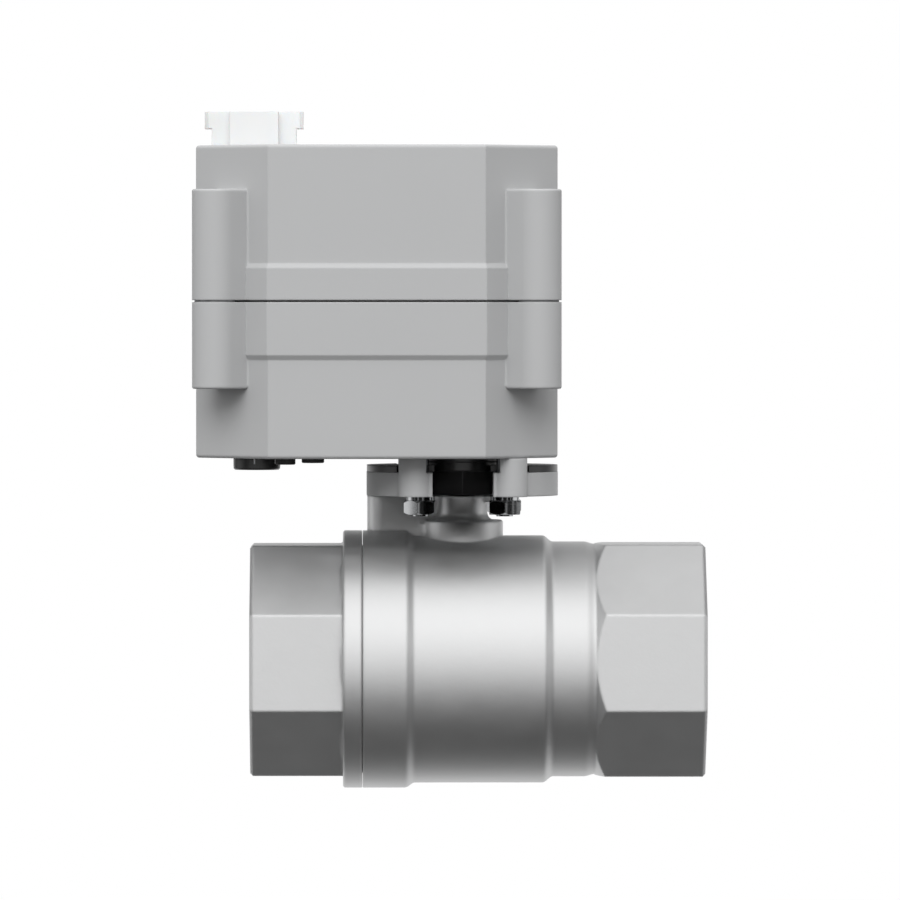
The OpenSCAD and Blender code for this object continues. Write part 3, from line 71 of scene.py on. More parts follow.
class FinishSettings(bpy.types.PropertyGroup):
    """Colours and grain of the outer pieces"""

    housing: bpy.props.FloatVectorProperty(
        name="Housing", description="Colour of the grey plastic", subtype="COLOR",
        size=4, min=0, max=1, default=(0.478, 0.482, 0.486, 1),
    )
    steel: bpy.props.FloatVectorProperty(
        name="Steel", description="Colour of the blasted stainless castings", subtype="COLOR",
        size=4, min=0, max=1, default=(0.70, 0.703, 0.705, 1),
    )
    steel_roughness: bpy.props.FloatProperty(
        name="Steel roughness", description="Roughness of the castings",
        subtype="FACTOR", min=0, max=1, default=0.48,
    )
    grain_size: bpy.props.FloatProperty(
        name="Grain", description="Size of the grain on the castings",
        unit="LENGTH", min=0.0001, max=0.002, default=0.00045,
    )


class ThreadSettings(bpy.types.PropertyGroup):
    """The pipe thread inside the ports"""

    bore: bpy.props.FloatProperty(
        name="Bore", description="Radius of the plain bore that the thread stands in",
        unit="LENGTH", default=0.01515, precision=5,
    )
    pitch: bpy.props.FloatProperty(
        name="Pitch", description="Distance from one turn to the next", unit="LENGTH", default=0.002309,
        precision=6,
    )
    height: bpy.props.FloatProperty(
        name="Height", description="Height of the ridge over the bore", unit="LENGTH", default=0.0006,
        precision=5,
    )
    start: bpy.props.FloatProperty(
        name="Start", description="Distance of the first turn from the port's face", unit="LENGTH",
        default=0.0009, precision=5,
    )
    turns: bpy.props.IntProperty(
        name="Turns", description="Number of turns in each port", min=1, default=5,
    )


class StageSettings(bpy.types.PropertyGroup):
    """Lights, floor and camera"""

    key: bpy.props.FloatProperty(
        name="Key", description="Power of the softbox in front", min=0, default=29,
    )
    back: bpy.props.FloatProperty(
        name="Back", description="Power of the light behind", min=0, default=8,
    )
    ambient: bpy.props.FloatProperty(
        name="Ambient", description="Level of the light from the horizon", min=0, default=0.42,
    )
    overhead: bpy.props.FloatProperty(
        name="Overhead", description="Level of the light from straight above", min=0, default=1.15,
    )
    bounce: bpy.props.FloatProperty(
        name="Bounce", description="Share of its light that the floor throws back up", subtype="FACTOR",
        min=0, max=1, default=0.12,
    )
    floor: bpy.props.FloatProperty(
        name="Floor", description="Height of the floor", unit="LENGTH", default=-0.075,
    )
    distance: bpy.props.FloatProperty(
        name="Distance", description="Distance from the camera to the stem axis",
        unit="LENGTH", min=0.5, default=1.645,
    )


# Node groups


def new_group(name, inputs, outputs):
    """An empty shader group with its named sockets, and its two end nodes."""
    group = bpy.data.node_groups.new(name, "ShaderNodeTree")
    for label, kind, value in inputs:
        socket = group.interface.new_socket(label, in_out="INPUT", socket_type=kind)
        socket.default_value = value
    for label, kind in outputs:
        group.interface.new_socket(label, in_out="OUTPUT", socket_type=kind)
    return group, group.nodes.new("NodeGroupInput"), group.nodes.new("NodeGroupOutput")


def add(tree, kind, **values):
    """A new node with its settings, and its inputs given by name or number."""
    node = tree.nodes.new(kind)
    inputs = values.pop("inputs", {})
    for key, value in values.items():
        setattr(node, key, value)
    for key, value in inputs.items():
        if isinstance(value, bpy.types.NodeSocket):
            tree.links.new(value, node.inputs[key])
        else:
            node.inputs[key].default_value = value
    return node


def grain_group():
    """Fine grain over the piece's own rounded edges: two sizes of noise as a bump."""
    wide_share = 0.27
    group, source, result = new_group(
        "Grain",
        [("Size", "NodeSocketFloat", 0.0005), ("Strength", "NodeSocketFloat", 0.3),
         ("Height", "NodeSocketFloat", 0.00004), ("Edge", "NodeSocketFloat", 0.0003)],
        [("Normal", "NodeSocketVector"), ("Mask", "NodeSocketFloat")],
    )
    place = add(group, "ShaderNodeTexCoord")
    scale = add(group, "ShaderNodeMath", operation="DIVIDE", inputs={0: 1.0, 1: source.outputs["Size"]})
    fine = add(group, "ShaderNodeTexNoise", inputs={
        "Vector": place.outputs["Object"], "Scale": scale.outputs[0], "Detail": 3.0, "Roughness": 0.6})
    wide_scale = add(group, "ShaderNodeMath", operation="MULTIPLY", inputs={
        0: scale.outputs[0], 1: wide_share})
    wide = add(group, "ShaderNodeTexNoise", inputs={
        "Vector": place.outputs["Object"], "Scale": wide_scale.outputs[0], "Detail": 2.0})
    both = add(group, "ShaderNodeMath", operation="ADD", inputs={0: fine.outputs[0], 1: wide.outputs[0]})
    edge = add(group, "ShaderNodeBevel", samples=6, inputs={"Radius": source.outputs["Edge"]})
    bump = add(group, "ShaderNodeBump", inputs={
        "Strength": source.outputs["Strength"], "Distance": source.outputs["Height"],
        "Height": both.outputs[0], "Normal": edge.outputs[0]})
    group.links.new(bump.outputs[0], result.inputs["Normal"])
    group.links.new(both.outputs[0], result.inputs["Mask"])
    return group


def mottle_group():
    """Slow changes of colour and roughness, as on a real moulding or casting."""
    noise_middle, roughness_share = 0.5, 0.8
    group, source, result = new_group(
        "Mottle",
        [("Color", "NodeSocketColor", (0.5, 0.5, 0.5, 1)), ("Roughness", "NodeSocketFloat", 0.4),
         ("Amount", "NodeSocketFloat", 0.06), ("Size", "NodeSocketFloat", 0.01)],
        [("Color", "NodeSocketColor"), ("Roughness", "NodeSocketFloat")],
    )
    place = add(group, "ShaderNodeTexCoord")
    scale = add(group, "ShaderNodeMath", operation="DIVIDE", inputs={0: 1.0, 1: source.outputs["Size"]})
    noise = add(group, "ShaderNodeTexNoise", inputs={
        "Vector": place.outputs["Object"], "Scale": scale.outputs[0], "Detail": 4.0, "Roughness": 0.55})
    centred = add(group, "ShaderNodeMath", operation="SUBTRACT", inputs={
        0: noise.outputs[0], 1: noise_middle})
    change = add(group, "ShaderNodeMath", operation="MULTIPLY", inputs={
        0: centred.outputs[0], 1: source.outputs["Amount"]})
    factor = add(group, "ShaderNodeMath", operation="ADD", inputs={0: change.outputs[0], 1: 1.0})
    colour = add(group, "ShaderNodeVectorMath", operation="SCALE", inputs={
        0: source.outputs["Color"], "Scale": factor.outputs[0]})
    rough = add(group, "ShaderNodeMath", operation="MULTIPLY_ADD", inputs={
        0: change.outputs[0], 1: roughness_share, 2: source.outputs["Roughness"]})
    group.links.new(colour.outputs[0], result.inputs["Color"])
    group.links.new(rough.outputs[0], result.inputs["Roughness"])
    return group


def turned_face_group():
    """Where a face square to the flow axis has been turned: a mask, and a bump of fine rings."""
    square_from, unevenness_scale = 0.995, 900.0
    group, source, result = new_group(
        "Turned face",
        [("Normal", "NodeSocketVector", (0, 0, 0)), ("Pitch", "NodeSocketFloat", 0.0004),
         ("Height", "NodeSocketFloat", 0.00001)],
        [("Normal", "NodeSocketVector"), ("Mask", "NodeSocketFloat")],
    )
    geometry = add(group, "ShaderNodeNewGeometry")
    facing = add(group, "ShaderNodeSeparateXYZ", inputs={0: geometry.outputs["True Normal"]})
    square = add(group, "ShaderNodeMath", operation="ABSOLUTE", inputs={0: facing.outputs["X"]})
    flat = add(group, "ShaderNodeMath", operation="GREATER_THAN", inputs={
        0: square.outputs[0], 1: square_from})
    place = add(group, "ShaderNodeTexCoord")
    parts = add(group, "ShaderNodeSeparateXYZ", inputs={0: place.outputs["Object"]})
    around = add(group, "ShaderNodeCombineXYZ", inputs={"Y": parts.outputs["Y"], "Z": parts.outputs["Z"]})
    radius = add(group, "ShaderNodeVectorMath", operation="LENGTH", inputs={0: around.outputs[0]})
    turns = add(group, "ShaderNodeMath", operation="DIVIDE", inputs={
        0: radius.outputs["Value"], 1: source.outputs["Pitch"]})
    wave = add(group, "ShaderNodeMath", operation="PINGPONG", inputs={0: turns.outputs[0], 1: 0.5})
    noise = add(group, "ShaderNodeTexNoise", inputs={
        "Vector": place.outputs["Object"], "Scale": unevenness_scale, "Detail": 2.0})
    height = add(group, "ShaderNodeMath", operation="ADD", inputs={0: wave.outputs[0], 1: noise.outputs[0]})
    rings = add(group, "ShaderNodeMath", operation="MULTIPLY", inputs={
        0: height.outputs[0], 1: flat.outputs[0]})
    bump = add(group, "ShaderNodeBump", inputs={
        "Strength": 0.5, "Distance": source.outputs["Height"], "Height": rings.outputs[0],
        "Normal": source.outputs["Normal"]})
    group.links.new(bump.outputs[0], result.inputs["Normal"])
    group.links.new(flat.outputs[0], result.inputs["Mask"])
    return group


GROUPS = {}
GROUP_MAKERS = {"Grain": grain_group, "Mottle": mottle_group, "Turned face": turned_face_group}


def use_group(tree, name, **inputs):
    """Places a group in a material, and builds it the first time."""
    if name not in GROUPS:
        GROUPS[name] = GROUP_MAKERS[name]()
    return add(tree, "ShaderNodeGroup", node_tree=GROUPS[name], inputs=inputs)


def material(name, colour, roughness, metallic=0.0, grain=0.0005, strength=0.2, height=0.00002,
             edge=0.0002, amount=0.05, size=0.01, **shader):
    """A procedural material: mottled colour and roughness, fine grain and rounded edges."""
    made = bpy.data.materials.new(name)
    made.use_nodes = True
    tree = made.node_tree
    principled = tree.nodes["Principled BSDF"]
    principled.inputs["Metallic"].default_value = metallic
    for key, value in shader.items():
        principled.inputs[key.replace("_", " ")].default_value = value
    mottle = use_group(tree, "Mottle", Color=colour, Roughness=roughness, Amount=amount, Size=size)
    surface = use_group(tree, "Grain", Size=grain, Strength=strength, Height=height, Edge=edge)
    tree.links.new(mottle.outputs["Color"], principled.inputs["Base Color"])
    tree.links.new(mottle.outputs["Roughness"], principled.inputs["Roughness"])
    tree.links.new(surface.outputs["Normal"], principled.inputs["Normal"])
    return made


def dress(made, *nodes):
    """Gives a material to CAD nodes or new pieces."""
    for name in nodes:
        obj = NODES[name] if isinstance(name, str) else name
        obj.data.materials.clear()
        obj.data.materials.append(made)


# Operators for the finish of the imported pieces


class VALVE_OT_castings(bpy.types.Operator):
    """Gives the stainless castings their blasted finish"""

    bl_idname = "valve.castings"
    bl_label = "Castings"

    def execute(self, context):
        finish = context.scene.valve_finish
        turned_share = 0.6
        steel = material("cast_steel", finish.steel, finish.steel_roughness, 1.0,
                         grain=finish.grain_size, strength=0.35, height=0.00003, edge=0.0007,
                         amount=0.10, size=0.006)
        self.turn_faces(steel.node_tree, turned_share * finish.steel_roughness)
        dress(steel, "valve_body", "end_cap")
        return {"FINISHED"}

    def turn_faces(self, tree, roughness):
        """Smoother, ringed metal on the faces square to the flow axis."""
        principled = tree.nodes["Principled BSDF"]
        normal = principled.inputs["Normal"].links[0].from_socket
        blasted = principled.inputs["Roughness"].links[0].from_socket
        turned = use_group(tree, "Turned face", Normal=normal)
        rough = add(tree, "ShaderNodeMix", inputs={0: turned.outputs["Mask"], 2: blasted, 3: roughness})
        tree.links.new(rough.outputs[0], principled.inputs["Roughness"])
        tree.links.new(turned.outputs["Normal"], principled.inputs["Normal"])


class VALVE_OT_mouldings(bpy.types.Operator):
    """Gives the housing and the yoke their grained grey plastic"""

    bl_idname = "valve.mouldings"
    bl_label = "Mouldings"

    def execute(self, context):
        finish = context.scene.valve_finish
        grey = material("grey_plastic", finish.housing, 0.52, grain=0.00028, strength=0.25,
                        height=0.00002, edge=0.0004, amount=0.03, size=0.02, Specular_IOR_Level=0.25)
        dress(grey, "housing_base", "housing_cover", "mount_yoke")
        white = material("white_plastic", (0.79, 0.79, 0.785, 1), 0.38, grain=0.0006, strength=0.08,
                         height=0.00001, edge=0.0002, amount=0.02, size=0.01, Subsurface_Weight=0.15)
        dress(white, "power_socket")
        black = material("black_plastic", (0.012, 0.012, 0.0125, 1), 0.34, grain=0.0004, strength=0.2,
                         height=0.00001, edge=0.0002, amount=0.2, size=0.004)
        dress(black, "coupling", "yoke_ring", "manual_knob", "open_switch", "closed_switch")
        return {"FINISHED"}


class VALVE_OT_metals(bpy.types.Operator):
    """Gives the bright screws, turned shafts, plated sheet and bronze their finish"""

    bl_idname = "valve.metals"
    bl_label = "Metals"

    def execute(self, context):
        bright = material("bright_plating", (0.50, 0.51, 0.52, 1), 0.13, 1.0, grain=0.0003, strength=0.1,
                          height=0.000006, edge=0.00012, amount=0.08, size=0.002)
        dress(bright, "mount_nuts", "mount_bolts", "spring_washers", "housing_screws", "motor_screws",
              "plate_screws", "board_screws")
        turned = material("turned_steel", (0.66, 0.665, 0.67, 1), 0.24, 1.0, grain=0.0002, strength=0.2,
                          height=0.00001, edge=0.00015, amount=0.1, size=0.003)
        dress(turned, "stem", "output_shaft", "second_arbor", "manual_shaft", "motor_shaft")
        polished = material("polished_steel", (0.82, 0.825, 0.83, 1), 0.07, 1.0, grain=0.001, strength=0.04,
                            height=0.000004, edge=0.0003, amount=0.03, size=0.008)
        dress(polished, "ball")
        zinc = material("zinc_plate", (0.60, 0.61, 0.62, 1), 0.33, 1.0, grain=0.0004, strength=0.15,
                        height=0.00001, edge=0.0002, amount=0.18, size=0.003)
        dress(zinc, "gear_plate", "gearhead", "motor")
        bronze = material("bronze", (0.62, 0.42, 0.19, 1), 0.32, 1.0, grain=0.0003, strength=0.2,
                          height=0.00001, edge=0.00015, amount=0.15, size=0.002)
        dress(bronze, "lower_bush", "upper_bush", "motor_pinion", "plate_posts", "socket_pins")
        return {"FINISHED"}


class VALVE_OT_inner(bpy.types.Operator):
    """Gives the seals, gears and electrical pieces their finish"""

    bl_idname = "valve.inner"
    bl_label = "Inner pieces"

    def execute(self, context):
        ptfe = material("ptfe", (0.84, 0.84, 0.81, 1), 0.42, grain=0.0005, strength=0.1, height=0.00001,
                        amount=0.03, size=0.004, Subsurface_Weight=0.2)
        dress(ptfe, "inlet_seat", "outlet_seat", "body_seal", "thrust_washer")
        rubber = material("rubber", (0.018, 0.018, 0.018, 1), 0.68, grain=0.0002, strength=0.3,
                          height=0.00001, amount=0.2, size=0.003)
        dress(rubber, "stem_o_rings", "knob_seal", "blanking_plugs")
        silicone = material("silicone", (0.30, 0.30, 0.30, 1), 0.55, grain=0.0002, strength=0.2,
                            height=0.00001, amount=0.1, size=0.003)
        dress(silicone, "housing_gasket")
        acetal = material("acetal", (0.74, 0.70, 0.58, 1), 0.36, grain=0.0005, strength=0.08,
                          height=0.00001, edge=0.00012, amount=0.04, size=0.005, Subsurface_Weight=0.15)
        dress(acetal, "sector_gear", "second_gear", "first_gear", "cam")
        red = material("red_plastic", (0.45, 0.03, 0.02, 1), 0.34, edge=0.0001, amount=0.05, size=0.002)
        dress(red, "open_button", "closed_button")
        blue = material("blue_plastic", (0.03, 0.08, 0.28, 1), 0.4, edge=0.0002, amount=0.06, size=0.004)
        dress(blue, "relay")
        board = material("circuit_board", (0.015, 0.12, 0.04, 1), 0.3, edge=0.0001, amount=0.1,
                         size=0.002, Coat_Weight=0.4)
        dress(board, "circuit_board")
        return {"FINISHED"}


# Tools for new pieces

SMOOTH_ANGLE = 0.6


def fresh(kind, **place):
    """A new primitive, alone in the selection."""
    bpy.ops.object.select_all(action="DESELECT")
    getattr(bpy.ops.mesh, "primitive_" + kind + "_add")(**place)
    return bpy.context.object


def finish_piece(piece, name, body):
    """Puts a piece's place into its mesh, names it, smooths it and lets it ride on its body."""
    bpy.ops.object.transform_apply()
    piece.name = piece.data.name = name
    bpy.ops.object.shade_smooth_by_angle(angle=SMOOTH_ANGLE)
    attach(piece, body)
    return piece


def edit_all(piece, act):
    """Runs an edit mode operator on the whole of a piece."""
    bpy.context.view_layer.objects.active = piece
    bpy.ops.object.mode_set(mode="EDIT")
    bpy.ops.mesh.select_all(action="SELECT")
    act()
    bpy.ops.object.mode_set(mode="OBJECT")


def block(lo, hi, edge):
    """A moulded or sawn block between two corners, with rounded edges."""
    lo, hi = Vector(lo), Vector(hi)
    piece = fresh("cube", size=1, location=(lo + hi) / 2)
    piece.scale = hi - lo
    bpy.ops.object.transform_apply()
    edit_all(piece, lambda: bpy.ops.mesh.bevel(offset=edge, segments=2, affect="EDGES"))
    return piece


def join(pieces):
    """Makes one mesh of several, all alone in the selection."""
    bpy.ops.object.select_all(action="DESELECT")
    for piece in pieces:
        piece.select_set(True)
    bpy.context.view_layer.objects.active = pieces[0]
    if len(pieces) > 1:
        bpy.ops.object.join()
    return pieces[0]


# Operators for the new pieces


class VALVE_OT_knob_painted_highlights(bpy.types.Operator):
    """Sets two light lines into the side of the hand knob, a little proud of it: painted highlights that
    stand for glints on the knob's edges
    """

    bl_idname = "valve.knob_marks"
    bl_label = "Knob painted highlights"

    def execute(self, context):
        places, half_width, proud, sunk, edge = (-0.00039, 0.00332), 0.00013, 0.00003, 0.0003, 0.00002
        lo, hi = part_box("manual_knob")
        axis, radius = (lo + hi) / 2, (hi.x - lo.x) / 2
        bottom, top = hi.z - 0.00115, hi.z - 0.0001
        painted_highlights = []
        for aside in places:
            painted_highlight = block((-half_width, -radius - proud, bottom), (half_width, sunk - radius, top), edge)
            painted_highlight.rotation_euler.z = math.asin(aside / radius)
            painted_highlight.location = (axis.x, axis.y, 0)
            bpy.ops.object.transform_apply()
            painted_highlights.append(painted_highlight)
        # The pale colour paints highlights: glints on the knob's edges, given as light plastic lines
        paint = material("painted_highlight_plastic", (0.85, 0.85, 0.85, 1), 0.4, edge=0.00003, amount=0.04, size=0.002)
        dress(paint, finish_piece(join(painted_highlights), "knob_marks", "first_train"))
        return {"FINISHED"}


# Sizes of the small parts on the board, and their places from the stem's axis

BOARD_GAP = 0.00002
CHIPS = ((-0.012, 0.0, 0.0099, 8), (0.004, -0.008, 0.0049, 4))
CHIP_WIDTH = 0.0039
CHIP_BOTTOM = 0.0001
CHIP_TOP = 0.0016
CHIP_EDGE = 0.00012
LEG_PITCH = 0.00127
LEG_WIDTH = 0.00042
LEG_ROOT = 0.0002
LEG_HEIGHT = 0.0008
LEG_BENDS = ((0.0003, 0.0), (0.00012, -0.00065), (0.0006, -0.0001))
LEG_THICKNESS = 0.00015
CAPACITOR_LO = (-0.002, 0.0045)
CAPACITOR_HI = (0.0053, 0.0088)
CAPACITOR_TOP = 0.0028
CAPACITOR_EDGE = 0.0002
RESISTOR_START = -0.022
RESISTOR_STEP = 0.0052
RESISTOR_ROWS = (0.0075, -0.0095)
RESISTORS_A_ROW = 4
RESISTOR_HALF = 0.00065
RESISTOR_HALF_WIDTH = 0.0006
RESISTOR_TOP = 0.0005
RESISTOR_EDGE = 0.00006
END_REACH = 0.00105
END_TOP = 0.00055
SOLDER_EDGE = 0.00008
SOLDER_CONES = 5
CONE_FOOT = 0.0008
CONE_TIP = 0.00035
CONE_HEIGHT = 0.0006


class VALVE_OT_board_parts(bpy.types.Operator):
    """Sets the small electronic parts on top of the circuit board"""

    bl_idname = "valve.board_parts"
    bl_label = "Board parts"

    def execute(self, context):
        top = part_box("circuit_board")[1].z + BOARD_GAP
        ceramic = material("chip_ceramic", (0.30, 0.22, 0.15, 1), 0.45, amount=0.1, size=0.002)
        epoxy = material("chip_epoxy", (0.02, 0.02, 0.021, 1), 0.5, grain=0.0002, strength=0.3, amount=0.1)
        solder = material("tinned", (0.72, 0.73, 0.74, 1), 0.22, 1.0, edge=0.00005, amount=0.1, size=0.001)
        chips, legs = [], []
        for aside, y, long, count in CHIPS:
            chip, pins = self.chip(STEM_X + aside, y, top, long, count)
            chips.append(chip)
            legs += pins
        chips.append(block((STEM_X + CAPACITOR_LO[0], CAPACITOR_LO[1], top),
                           (STEM_X + CAPACITOR_HI[0], CAPACITOR_HI[1], top + CAPACITOR_TOP), CAPACITOR_EDGE))
        dress(epoxy, finish_piece(join(chips), "board_chips", "valve"))
        bodies, ends = [], []
        for y in RESISTOR_ROWS:
            for place in range(RESISTORS_A_ROW):
                body, caps = self.resistor(STEM_X + RESISTOR_START + RESISTOR_STEP * place, y, top)
                bodies.append(body)
                ends += caps
        dress(ceramic, finish_piece(join(bodies), "board_resistors", "valve"))
        tinned = join(ends + legs + self.cones(top))
        dress(solder, finish_piece(tinned, "board_solder", "valve"))
        return {"FINISHED"}

    def chip(self, x, y, top, long, count):
        """A moulded chip with its legs bent down to the board on both long sides."""
        body = block((x - long / 2, y - CHIP_WIDTH / 2, top + CHIP_BOTTOM),
                     (x + long / 2, y + CHIP_WIDTH / 2, top + CHIP_TOP), CHIP_EDGE)
        pins = []
        for i in range(count):
            at = x + (i - (count - 1) / 2) * LEG_PITCH
            for side in (-1, 1):
                root = y + side * (CHIP_WIDTH / 2 - LEG_ROOT / 2)
                leg = fresh("plane", size=1, location=(at, root, top + LEG_HEIGHT))
                leg.scale = (LEG_WIDTH, LEG_ROOT, 1)
                bpy.ops.object.transform_apply()
                edit_all(leg, lambda: self.bend(side))
                pins.append(leg)
        return body, pins

    def bend(self, side):
        """Draws one leg out, down and out again from the strip that is selected."""
        outer = bmesh.from_edit_mesh(bpy.context.object.data)
        far = max(side * vert.co.y for vert in outer.verts)
        for edge in outer.edges:
            edge.select = all(abs(side * vert.co.y - far) < 1e-6 for vert in edge.verts)
        outer.select_mode = {"EDGE"}
        outer.select_flush_mode()
        bmesh.update_edit_mesh(bpy.context.object.data)
        bpy.ops.mesh.select_mode(type="EDGE")
        for y, z in LEG_BENDS:
            bpy.ops.mesh.extrude_edges_move(TRANSFORM_OT_translate={"value": (0, side * y, z)})
        bpy.ops.mesh.select_all(action="SELECT")
        bpy.ops.mesh.solidify(thickness=LEG_THICKNESS)

    def resistor(self, x, y, top):
        """A ceramic body, and the tinned cap at each of its ends."""
        body = block((x - RESISTOR_HALF, y - RESISTOR_HALF_WIDTH, top),
                     (x + RESISTOR_HALF, y + RESISTOR_HALF_WIDTH, top + RESISTOR_TOP), RESISTOR_EDGE)
        caps = []
        for side in (-1, 1):
            near, far = x + side * RESISTOR_HALF, x + side * END_REACH
            caps.append(block((min(near, far), y - RESISTOR_HALF_WIDTH, top),
                              (max(near, far), y + RESISTOR_HALF_WIDTH, top + END_TOP), SOLDER_EDGE))
        return body, caps

    def cones(self, top):
        """Cones of solder, spread evenly over the length of the row of socket pins."""
        lo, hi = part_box("socket_pins")
        made = []
        for i in range(SOLDER_CONES):
            x = lo.x + (hi.x - lo.x) * (i + 0.5) / SOLDER_CONES
            cone = fresh("cone", vertices=24, radius1=CONE_FOOT, radius2=CONE_TIP, depth=CONE_HEIGHT,
                         location=(x, 0, top + CONE_HEIGHT / 2))
            edit_all(cone, lambda: bpy.ops.mesh.bevel(offset=SOLDER_EDGE, segments=2, affect="EDGES"))
            made.append(cone)
        return made


class VALVE_OT_port_threads(bpy.types.Operator):
    """Winds the ridge of the pipe thread along the bore of each port"""

    bl_idname = "valve.port_threads"
    bl_label = "Port threads"

    def execute(self, context):
        size = context.scene.valve_thread
        cut = material("cut_thread", (0.66, 0.663, 0.665, 1), 0.3, 1.0, grain=0.0002, strength=0.15,
                       height=0.000008, edge=0.0001, amount=0.08, size=0.003)
        for name, x, pitch in (("inlet_thread", size.start, size.pitch),
                               ("outlet_thread", FLOW_LENGTH - size.start, -size.pitch)):
            ridge = self.wind(size, x + 0.5 * pitch, pitch)
            finish_piece(ridge, name, "valve")
            dress(cut, ridge)
        return {"FINISHED"}

    def wind(self, size, x, pitch):
        """One ridge from a tapered strip, wound along the bore and run out into the wall at both ends."""
        sunk, run_out, foot_share, crest_share = 0.00006, 0.00012, 0.62, 0.4
        steps, fade, corners = 72, 30, 4
        ridge = fresh("plane", size=1, location=(x, 0, size.bore + sunk - (size.height + sunk) / 2),
                      rotation=(math.pi / 2, 0, 0))
        ridge.scale = (foot_share * size.pitch, size.height + sunk, 1)
        bpy.ops.object.transform_apply()
        bpy.ops.object.mode_set(mode="EDIT")
        bpy.ops.mesh.select_mode(type="VERT")
        bpy.ops.mesh.select_all(action="DESELECT")
        mesh = bmesh.from_edit_mesh(ridge.data)
        for vert in mesh.verts:
            vert.select = vert.co.z < size.bore - size.height / 2
        mesh.select_flush_mode()
        bmesh.update_edit_mesh(ridge.data)
        bpy.ops.transform.resize(value=(crest_share, 1, 1), center_override=(x, 0, size.bore))
        bpy.ops.object.mode_set(mode="OBJECT")
        screw = ridge.modifiers.new("wind", "SCREW")
        screw.axis, screw.angle, screw.screw_offset = "X", 2 * math.pi, pitch
        screw.iterations, screw.steps, screw.render_steps = size.turns, steps, steps
        bpy.ops.object.modifier_apply(modifier="wind")
        last = len(ridge.data.vertices) // corners - 1
        for index, vert in enumerate(ridge.data.vertices):
            step = index // corners
            sink = max(0.0, 1 - min(step, last - step) / fade) ** 2 * (size.height + run_out)
            out = Vector((0, vert.co.y, vert.co.z)).normalized()
            vert.co += sink * out
        bpy.ops.object.mode_set(mode="EDIT")
        bpy.ops.mesh.select_all(action="DESELECT")
        bpy.ops.mesh.select_non_manifold()
        bpy.ops.mesh.fill()
        bpy.ops.mesh.select_all(action="SELECT")
        bpy.ops.mesh.normals_make_consistent(inside=False)
        bpy.ops.object.mode_set(mode="OBJECT")
        return ridge


# Sizes, places and levels of the studio

CARD_MIDDLE = (STEM_X, 0, 0.03)
CARD_RADIUS = 1.2
# Level that the metals mirror at each angle round the flow axis: 0 is the front, 90 is overhead
CARD_LEVELS = (
    (-180, 1.15), (-155, 1.1), (-125, 0.52), (-103, 0.15), (-79, 0.065), (-65, 0.05), (-52, 0.06),
    (-38, 0.16), (-26, 0.42), (-13, 0.85), (0, 1.05), (15, 1.28), (40, 1.5), (60, 1.25), (79, 0.88),
    (91, 0.74), (104, 0.45), (117, 0.3), (130, 0.3), (150, 0.5), (165, 0.9), (180, 1.15),
)
# Place and size of the card of painted shade and painted glints in front of the neck and its nuts
PAINTED_SHADE_MIDDLE = (STEM_X - 0.005, -0.0125, 0.0258)
PAINTED_SHADE_SIZE = (0.040, 0.0086)
FLOOR_RADIUS = 6.0
FLOOR_FADE = (0.12, 0.5)
LAMP_AIM = (STEM_X - 0.01, 0, 0.04)
KEY_PLACE, KEY_SIZE = (-0.19, -1.40, 1.30), (2.0, 1.4)
BACK_PLACE, BACK_SIZE = (0.3, 1.9, 1.2), (1.8, 1.4)

# Rows and columns of the photograph that place the camera

PHOTO_PIXELS = 900
PORT_SPAN = 458
INLET_COLUMN = 249
AXIS_ROW = 661.2
AIM_COLUMN, AIM_ROW = 450.4, 450
EYE_COLUMN, EYE_ROW = 376.4, 280
# How far in front of the flow axis the scale of the pixels holds
SCALE_DEPTH = 0.0175


def card_material():
    """What the metals mirror: bright in front and behind, dark below, dim aside and lit at both ends."""
    dim_from, dim_to, dim_share = 0.5, 0.8, 0.3
    end_from, end_to, end_level = 0.9, 0.97, 0.75
    made = bpy.data.materials.new("studio_card")
    made.use_nodes = True
    tree = made.node_tree
    tree.nodes.clear()
    place = add(tree, "ShaderNodeTexCoord")
    away = add(tree, "ShaderNodeVectorMath", operation="SUBTRACT", inputs={
        0: place.outputs["Object"], 1: CARD_MIDDLE})
    way = add(tree, "ShaderNodeVectorMath", operation="NORMALIZE", inputs={0: away.outputs[0]})
    parts = add(tree, "ShaderNodeSeparateXYZ", inputs={0: way.outputs[0]})
    front = add(tree, "ShaderNodeMath", operation="MULTIPLY", inputs={0: parts.outputs["Y"], 1: -1.0})
    angle = add(tree, "ShaderNodeMath", operation="ARCTAN2", inputs={
        0: parts.outputs["Z"], 1: front.outputs[0]})
    share = add(tree, "ShaderNodeMapRange", inputs={0: angle.outputs[0], 1: -math.pi, 2: math.pi})
    curve = add(tree, "ShaderNodeFloatCurve", inputs={"Value": share.outputs[0]})
    points = curve.mapping.curves[0].points
    top = max(level for _, level in CARD_LEVELS)
    while len(points) < len(CARD_LEVELS):
        points.new(0.5, 0.5)
    for point, (degrees, level) in zip(points, CARD_LEVELS):
        point.location = ((degrees + 180) / 360, level / top)
    curve.mapping.update()
    aside = add(tree, "ShaderNodeMath", operation="ABSOLUTE", inputs={0: parts.outputs["X"]})
    dim = add(tree, "ShaderNodeMapRange", interpolation_type="SMOOTHSTEP", inputs={
        0: aside.outputs[0], 1: dim_from, 2: dim_to, 3: top, 4: dim_share * top})
    lit = add(tree, "ShaderNodeMapRange", interpolation_type="SMOOTHSTEP", inputs={
        0: aside.outputs[0], 1: end_from, 2: end_to, 3: 0.0, 4: end_level})
    glow = add(tree, "ShaderNodeMath", operation="MULTIPLY_ADD", inputs={
        0: curve.outputs[0], 1: dim.outputs[0], 2: lit.outputs[0]})
    emission = add(tree, "ShaderNodeEmission", inputs={"Strength": glow.outputs[0]})
    add(tree, "ShaderNodeOutputMaterial", inputs={"Surface": emission.outputs[0]})
    return made


def only_seen_by(obj, *rays):
    """Hides a piece of the stage from every other kind of ray."""
    for ray in ("camera", "diffuse", "glossy", "transmission", "volume_scatter", "shadow"):
        setattr(obj, "visible_" + ray, ray in rays)


